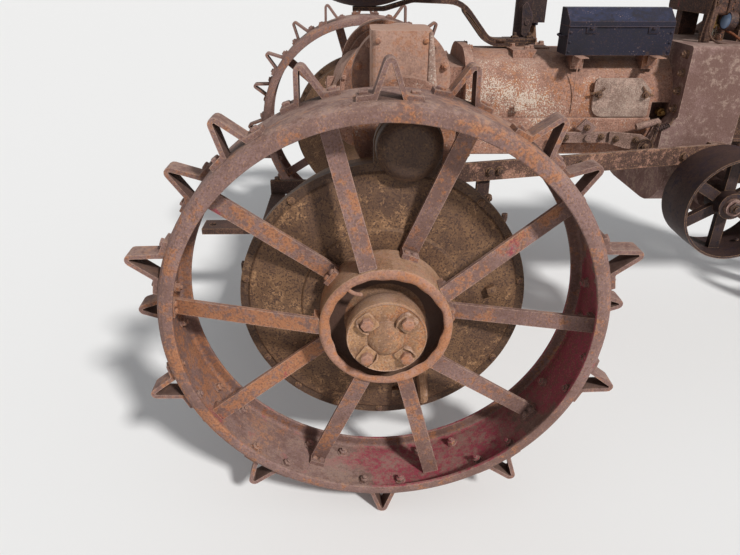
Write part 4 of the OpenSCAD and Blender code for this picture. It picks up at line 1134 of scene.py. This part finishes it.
class TRACTOR_OT_engine_fittings(Operator):
    """Head nuts, cover bolts, spark plugs with their wires, the oil filler and the fan belt"""
    bl_idname = "tractor.engine_fittings"
    bl_label = "Engine fittings"

    def execute(self, context):
        slot = "engine_iron"
        rear, head_y, side_y, pan_y = 1190, 98, 145, 118
        head_z, cover_z, pan_z = 1130, 1160, 694
        heads = [at(rear + 50 * k, s * head_y, head_z, UP, 17 * k) for k in range(11) for s in BOTH]
        settle(many(hex_bolt(19, 12, 8), heads), "cylinder_head_nuts", slot)
        knob = joined(top_edge(drum(16, 10, 20), 4, 3), hex_bolt(14, 18))
        settle(many(knob, [at(x, 0, cover_z, UP, 10) for x in (1240, 1440, 1640)]), "valve_cover_knobs", slot)
        covers = [at(x + dx, s * side_y, z, LEFT * s, 12)
                  for s in BOTH for x in (1205, 1465) for dx in (18, 110, 202) for z in (745, 865)]
        settle(many(hex_bolt(14, 7), covers), "crankcase_cover_bolts", slot)
        pan = [at(rear + 46 * k, s * pan_y, pan_z, DOWN) for k in range(11) for s in BOTH]
        settle(many(hex_bolt(13, 7), pan), "oil_pan_bolts", slot)
        self.ignition()
        filler_x, filler_y = 1655, 192
        neck = pipe([(1640, 120, 900), (1650, 170, 910), (filler_x, 190, 960), (filler_x, filler_y, 1010)],
                    22, sides=5)
        cap = moved(top_edge(drum(28, 22, 24), 6, 5), level(filler_x, filler_y, 1004))
        settle(joined(neck, cap), "oil_filler", slot)
        crank_z = 795
        crank = pipe([(x, 0, crank_z) for x in (1815, 1860, 1880)], 12)
        settle(crank, "crank_shaft_end", "steering_steel")
        settle(self.belt(1786, (crank_z, 86), (985, 59)), "fan_belt", "rubber")
        return {"FINISHED"}

    def ignition(self):
        """A plug for each cylinder, and the wires from the plugs to the magneto."""
        plug_z = 1102
        plug = joined(drum(11, 12, 6), drum(7, 34, 16, 10), top_edge(drum(9, 10, 16, 16), 2, 1),
                      top_edge(drum(4, 8, 12, 42), 1, 1))
        settle(many(plug, [at(x, 123, plug_z, LEFT) for x in CYLINDERS]), "spark_plugs", "porcelain")
        for k, x in enumerate(CYLINDERS):
            post_x, post_y = 1546 + 16 * k, 173 + (k % 2) * 36
            wire = pipe([
                (x, 172, plug_z), (x, 190, plug_z - 4), ((x + 1570) / 2, 214, 1060 - 8 * k),
                (1562, 206 + 5 * k, 1010), (post_x, post_y, 990), (post_x, post_y, 958)], 3.6)
            settle(wire, "ignition_wire_" + str(k + 1), "rubber")

    def belt(self, station, lower, upper):
        """A flat belt round the crank's pulley and the fan's, each given by its height and radius."""
        low, low_radius = lower
        high, high_radius = upper
        lean = math.asin((low_radius - high_radius) / (high - low))
        outline = []
        for z, radius, first, sweep in ((low, low_radius, math.pi + lean, math.pi - 2 * lean),
                                        (high, high_radius, -lean, math.pi + 2 * lean)):
            for k in range(17):
                a = first + sweep * k / 16
                outline.append((radius * math.cos(a), z + radius * math.sin(a)))
        band = plate(outline, 26, 0)
        faces(band, lambda centre, normal: abs(normal.z) > 0.9)
        bpy.ops.mesh.delete(type="FACE")
        bpy.ops.object.mode_set(mode="OBJECT")
        press(band, "SOLIDIFY", thickness=4 * MM, offset=1.0)
        upright = Matrix.Rotation(math.pi / 2, 4, "Z") @ Matrix.Rotation(math.pi / 2, 4, "X")
        return moved(band, level(station, 0, 0) @ upright)


class TRACTOR_OT_fuel_fittings(Operator):
    """Carburettor fittings, the fuel tap with its glass bowl, the gauge, pipes and the manifold's clamps"""
    bl_idname = "tractor.fuel_fittings"
    bl_label = "Fuel and manifold"

    def gauge(self):
        """The strut at the tank's rear and the round gauge beside it, which faces the driver."""
        strut = plate([(-17, 0), (17, 0), (24, 90), (32, 162), (24, 170), (4, 168), (-6, 90)], 6)
        bolts = many(hex_bolt(14, 7), [at(x, -162, z, RIGHT, 20) for x, z in ((1060, 1215), (1063, 1246))])
        foot = moved(block(44, 26, 5, (-22, -13, 0), 1.5), level(1043, -166, 1091))
        settle(joined(moved(strut, at(1043, -156, 1092, RIGHT)), bolts, foot), "tank_strut", "frame_steel")
        y, z = -148, 1160
        dial = at(1105, y, z, (-0.99, -0.11, 0.10))
        bezel = joined(bevelled(drum(28, 24, 40, -26), 3), top_edge(drum(28, 5, 40, -3), 4, -3))
        aside = Matrix.Rotation(math.pi / 2, 4, "Z")
        arm = moved(block(64, 4, 30, (-8, -4, -15), 1), level(1132, y, z) @ aside)
        settle(joined(moved(bezel, dial), arm), "gauge_body", "steering_steel")
        face = bevelled(drum(23, 3, 40, -2), 1)
        settle(moved(face, dial), "gauge_glass", "porcelain", look="gauge_glass")

    def carburettor(self):
        """Its flange bolts, its bowl's foot, the throttle arm and the rod that leads back to the driver."""
        station, flange_y, bowl_y = 1465, -189, -223
        flange = [at(station + dx, flange_y, 974, UP) for dx in (-30, 30)]
        settle(many(hex_bolt(15, 9, 5), flange), "carburettor_flange_bolts", "engine_iron")
        bowl = moved(top_edge(drum(28, 8, 28), 8, 5), at(station, bowl_y, 876, DOWN))
        drain = moved(hex_bolt(12, 9, 6), at(station, bowl_y, 866, DOWN))
        settle(joined(bowl, drain), "carburettor_bowl_foot", "engine_iron")
        arm = plate([(-8, -8), (8, -8), (10, 0), (8, 46), (-2, 50), (-8, 44)], 5)
        settle(moved(arm, at(1490, -226, 935, RIGHT, 35)), "throttle_arm", "frame_steel")
        throttle = pipe([
            (1470, -233, 972), (1350, -240, 1010), (1230, -236, 1040), (1130, -215, 1090),
            (1060, -190, 1100), (1042, -172, 1130), (1050, -168, 1208), (1040, -164, 1300),
            (800, -90, 1400), (560, -40, 1425)], 3.5)
        settle(throttle, "throttle_rod", "frame_steel")

    def tap(self):
        """The tap under the tank, its glass bowl with the wire that holds it, and the fuel pipe."""
        x, y = 1085, -120
        tap = joined(moved(drum(9, 40, 16), at(x, y, 1175, DOWN)),
                     moved(top_edge(drum(17, 10, 24), 3, 2), at(x, y, 1148, DOWN)))
        settle(tap, "fuel_tap", "brass")
        glass = bevelled(drum(15, 30, 28), 5, 3)
        settle(moved(glass, at(x, y, 1137, DOWN)), "fuel_glass_bowl", "glass")
        wire = pipe([(x, y - 18, 1144), (x, y - 20, 1120), (x, y - 10, 1104), (x, y + 10, 1104),
                     (x, y + 20, 1120), (x, y + 18, 1144)], 1.6)
        settle(wire, "fuel_bowl_bail", "steering_steel")
        line = pipe([(1094, y, 1140), (1140, -140, 1130), (1180, -240, 1060), (1300, -252, 960),
                     (1400, -250, 912), (1440, -236, 905)], 4)
        settle(line, "fuel_pipe", "copper")

    def execute(self, context):
        clamp = joined(bevelled(block(34, 16, 10, (-17, -8, 0)), 2), hex_bolt(16, 10, 8, washer=False))
        port_y, port_z = -126, 1097
        clamps = [at(x + dx, port_y, port_z, RIGHT, 25) for x in CYLINDERS for dx in (-30, 30)]
        settle(many(clamp, clamps), "manifold_clamps", "engine_iron")
        self.carburettor()
        self.tap()
        self.gauge()
        ring = bevelled(drum(34, 16, 36), 3)
        settle(moved(ring, level(1345, -189, 1150)), "exhaust_clamp", "engine_iron")
        return {"FINISHED"}


class TRACTOR_OT_hood_fittings(Operator):
    """Bands, rivets and hems of the hood, the tank cap's grips and the bolts under the tank"""
    bl_idname = "tractor.hood_fittings"
    bl_label = "Tank and hood fittings"

    def arch(self, station):
        """Points over the hood, from its right lower edge to its left."""
        right_side = [(-156, 1185), (-156, 1235), (-147, 1262), (-122, 1284), (-90, 1297), (-60, 1301)]
        return [(station, y, z) for y, z in right_side + [(-y, z) for y, z in reversed(right_side)]]

    def execute(self, context):
        slot = "sheet_metal"
        flank = 155
        for name, x in (("rear", 1100), ("middle", 1530), ("front", 1895)):
            strap = pipe(self.arch(x), 4, smooth=False)
            settle(bevelled(strap, 1, 1), "hood_band_" + name, slot)
        rivets = [at(x, s * flank, z, LEFT * s) for x in (1118, 1512, 1548, 1877)
                  for z in (1195, 1215, 1238) for s in BOTH]
        settle(many(rivet(4, 3), rivets), "hood_rivets", slot)
        hems = [pipe([(x, s * flank, 1195) for x in (1534, 1906)], 3, smooth=False) for s in BOTH]
        settle(joined(*hems), "hood_hems", slot)
        grip = block(7, 16, 4, (-3.5, -8, 0), 1.2)
        settle(many(grip, round_cap(1390, 0, 1321, 12)), "tank_cap_grips", slot)
        supports = [at(x, s * 110, 1110, LEFT * s) for s in BOTH for x in (1092, 1112)]
        settle(many(hex_bolt(14, 7), supports), "tank_support_bolts", "rusty_casting")
        return {"FINISHED"}


class TRACTOR_OT_radiator_fittings(Operator):
    """Core ribs, tank bolts, cap grips and the hose of the radiator"""
    bl_idname = "tractor.radiator_fittings"
    bl_label = "Radiator fittings"

    def execute(self, context):
        slot = "sheet_metal"
        back, front = (corner[0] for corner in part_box("radiator"))
        sunk, top_row, bottom_row = 0.5 * MM, 1216, 852
        rib = block(3, 436, 2, (0, -218, 0))
        faces(rib, lambda centre, normal: normal.x > 0.9)
        bpy.ops.mesh.inset(thickness=0.4 * MM)
        bpy.ops.object.mode_set(mode="OBJECT")
        ribs = [level(1991.5, 0, 885 + 12 * k) for k in range(26)]
        settle(many(rib, ribs), "radiator_core_ribs", "pulley_iron")
        bolts = [standing((front + sunk, y * MM, z * MM), AHEAD, 20)
                 for y in range(-225, 226, 75) for z in (bottom_row, top_row)]
        settle(many(hex_bolt(14, 8), bolts), "radiator_tank_bolts", slot)
        bolts = [standing((back - sunk, y * MM, top_row * MM), BACK, 20) for y in (-225, -175, 175, 225)]
        settle(many(hex_bolt(14, 8), bolts), "radiator_back_bolts", slot)
        grip = block(8, 14, 4, (-4, -7, 0), 1.2)
        settle(many(grip, round_cap(1969, 95, 1314, 10)), "radiator_cap_grips", "brass")
        hose = pipe([(1725, 60, 1100), (1780, 60, 1120), (1820, 40, 1180), (1850, 0, 1236), (1866, 0, 1238)],
                    24, sides=5)
        settle(hose, "radiator_hose", "rubber")
        clip = joined(bevelled(drum(26.5, 12, 32, -6), 1, 1), block(10, 8, 10, (-5, 24, -5), 1))
        clips = [at(1745, 60, 1106, (1, 0, 0.3)), at(1856, 0, 1238, AHEAD)]
        settle(many(clip, clips), "radiator_hose_clips", "steering_steel")
        return {"FINISHED"}


class TRACTOR_OT_front_fittings(Operator):
    """Bolts and cap of the steering box, and the caps and spoke rivets of the front wheels"""
    bl_idname = "tractor.front_fittings"
    bl_label = "Front fittings"

    def execute(self, context):
        slot = "rusty_casting"
        top, circle, frame_y = 1380, 96, 145
        ring = [at(POST_STATION + circle * math.cos(a), circle * math.sin(a), top, UP, 15)
                for a in turns(6, 30)]
        settle(many(hex_bolt(19, 11), ring), "steering_box_bolts", slot)
        cap = joined(top_edge(drum(58, 14, 36), 16, 8), hex_bolt(26, 30))
        settle(moved(cap, level(POST_STATION, 0, top)), "steering_box_cap", slot)
        bolts = [at(x, s * frame_y, z, LEFT * s, 10) for x in (2055, 2105, 2140)
                 for z in (728, 772) for s in BOTH]
        settle(many(hex_bolt(17, 9), bolts), "front_frame_bolts", slot)
        for side in SIDES:
            self.wheel(side)
        return {"FINISHED"}

    def wheel(self, side):
        """The hub cap of a front wheel, which leans, and the rivets at both ends of its spokes."""
        s = SIDES[side]
        camber = math.radians(4)
        axis = Vector((0, s * math.cos(camber), math.sin(camber)))
        upward = Vector((0, -s * math.sin(camber), math.cos(camber)))
        centre = spot(POST_STATION, s * 125, 0)
        centre.z = middle("front_wheel_" + side)[2]
        rivets = []
        hub_circle, rim_circle, spoke_face, cap_face = 70 * MM, 290 * MM, 6 * MM, 64 * MM
        for a in turns(8):
            way = AHEAD * math.cos(a) + upward * math.sin(a)
            for radius in (hub_circle, rim_circle):
                rivets.append(standing(centre + way * radius + axis * spoke_face, axis))
        body = f"front_wheel_{side}_body"
        settle(many(rivet(6, 5), rivets), "front_spoke_rivets_" + side, "rim_steel", body)
        cap = joined(top_edge(drum(33, 16, 32), 8, 7), hex_bolt(20, 10, washer=False))
        cap = moved(cap, standing(centre + axis * cap_face, axis))
        settle(cap, "front_hub_cap_" + side, "rim_steel", body)


class TRACTOR_OT_pulley_fittings(Operator):
    """Shaft nut and rivets of the belt pulley, and the bolts of its housing"""
    bl_idname = "tractor.pulley_fittings"
    bl_label = "Belt pulley fittings"

    def execute(self, context):
        slot = "pulley_iron"
        x, _, z = middle("belt_pulley")
        station, height = (x - AXLE_X) / MM, z / MM
        shaft_end, housing_face = -449.5, -295
        nut = moved(hex_bolt(34, 18, 10), at(station, shaft_end, height, RIGHT, 12))
        settle(nut, "pulley_shaft_nut", slot, "pulley")
        inside, middle_y = 152, -404.5
        webs = [at(station + inside * math.cos(a), middle_y, height + inside * math.sin(a),
                   (-math.cos(a), 0, -math.sin(a))) for a in turns(6)]
        settle(many(rivet(7, 6), webs), "pulley_rivets", slot, "pulley")
        ring = round_axle(station, housing_face, height, 63, turns(6, 30), RIGHT)
        settle(many(hex_bolt(14, 8), ring), "pulley_housing_bolts", "rusty_casting")
        return {"FINISHED"}


class TRACTOR_OT_drawbar_fittings(Operator):
    """Bolts and nuts that hold the drawbar's bars together and to its hangers"""
    bl_idname = "tractor.drawbar_fittings"
    bl_label = "Drawbar fittings"

    def execute(self, context):
        slot = "frame_steel"
        rear, front, bar_y, hanger_y = -400, -10, 409, 420
        corners = [(x, s * bar_y) for x in (rear, front) for s in BOTH]
        inner = [(rear, 25), (rear, -25), (front, 0)]
        corner_top, bar_top, bottom = 460, 422, 377.5
        heads = [at(x, y, corner_top, UP, 9) for x, y in corners]
        heads += [at(x, y, bar_top, UP, 9) for x, y in inner]
        nuts = [at(x, y, bottom, DOWN, 25) for x, y in corners + inner]
        settle(many(hex_bolt(22, 12), heads), "drawbar_bolts", slot)
        settle(many(hex_bolt(22, 14, 8), nuts), "drawbar_nuts", slot)
        hangers = [at(x, s * hanger_y, z, LEFT * s, 9) for x in (36, 64) for s in BOTH for z in (415, 445)]
        settle(many(hex_bolt(17, 9), hangers), "drawbar_hanger_bolts", slot)
        return {"FINISHED"}


PIECES = [
    TRACTOR_OT_lug_bolts, TRACTOR_OT_spoke_rivets, TRACTOR_OT_hub_nuts, TRACTOR_OT_drop_bolts,
    TRACTOR_OT_gearbox_fittings, TRACTOR_OT_toolbox_fittings, TRACTOR_OT_linkage_fittings,
    TRACTOR_OT_rail_fittings, TRACTOR_OT_brake_fittings, TRACTOR_OT_seat_fittings,
    TRACTOR_OT_steering_fittings, TRACTOR_OT_engine_fittings, TRACTOR_OT_fuel_fittings,
    TRACTOR_OT_hood_fittings, TRACTOR_OT_radiator_fittings, TRACTOR_OT_front_fittings,
    TRACTOR_OT_pulley_fittings, TRACTOR_OT_drawbar_fittings,
]


class TRACTOR_PT_sidebar(Panel):
    """Lists the stage, the finishes and every group of pieces"""
    bl_label = "Tractor"
    bl_idname = "TRACTOR_PT_sidebar"
    bl_space_type = "VIEW_3D"
    bl_region_type = "UI"
    bl_category = "Tractor"

    def draw(self, context):
        for name in GROUPS:
            group = getattr(context.scene, name)
            box = self.layout.box()
            for key in group.__annotations__:
                box.prop(group, key)
        for kind in [TRACTOR_OT_stage, TRACTOR_OT_finishes] + PIECES:
            self.layout.operator(kind.bl_idname)


GROUPS = {
    "tractor_finish": TractorFinish, "tractor_fittings": TractorFittings, "tractor_stage": TractorStage,
}
CLASSES = [*GROUPS.values(), TRACTOR_OT_finishes, TRACTOR_OT_stage, *PIECES, TRACTOR_PT_sidebar]


def register():
    for kind in CLASSES:
        bpy.utils.register_class(kind)
    for name, group in GROUPS.items():
        setattr(bpy.types.Scene, name, PointerProperty(type=group))


def unregister():
    for name in GROUPS:
        delattr(bpy.types.Scene, name)
    for kind in reversed(CLASSES):
        bpy.utils.unregister_class(kind)


def main():
    register()
    bpy.ops.tractor.stage()
    bpy.ops.tractor.finishes()
    for kind in PIECES:
        getattr(bpy.ops.tractor, kind.bl_idname.split(".")[1])()


if __name__ == "__main__":
    main()
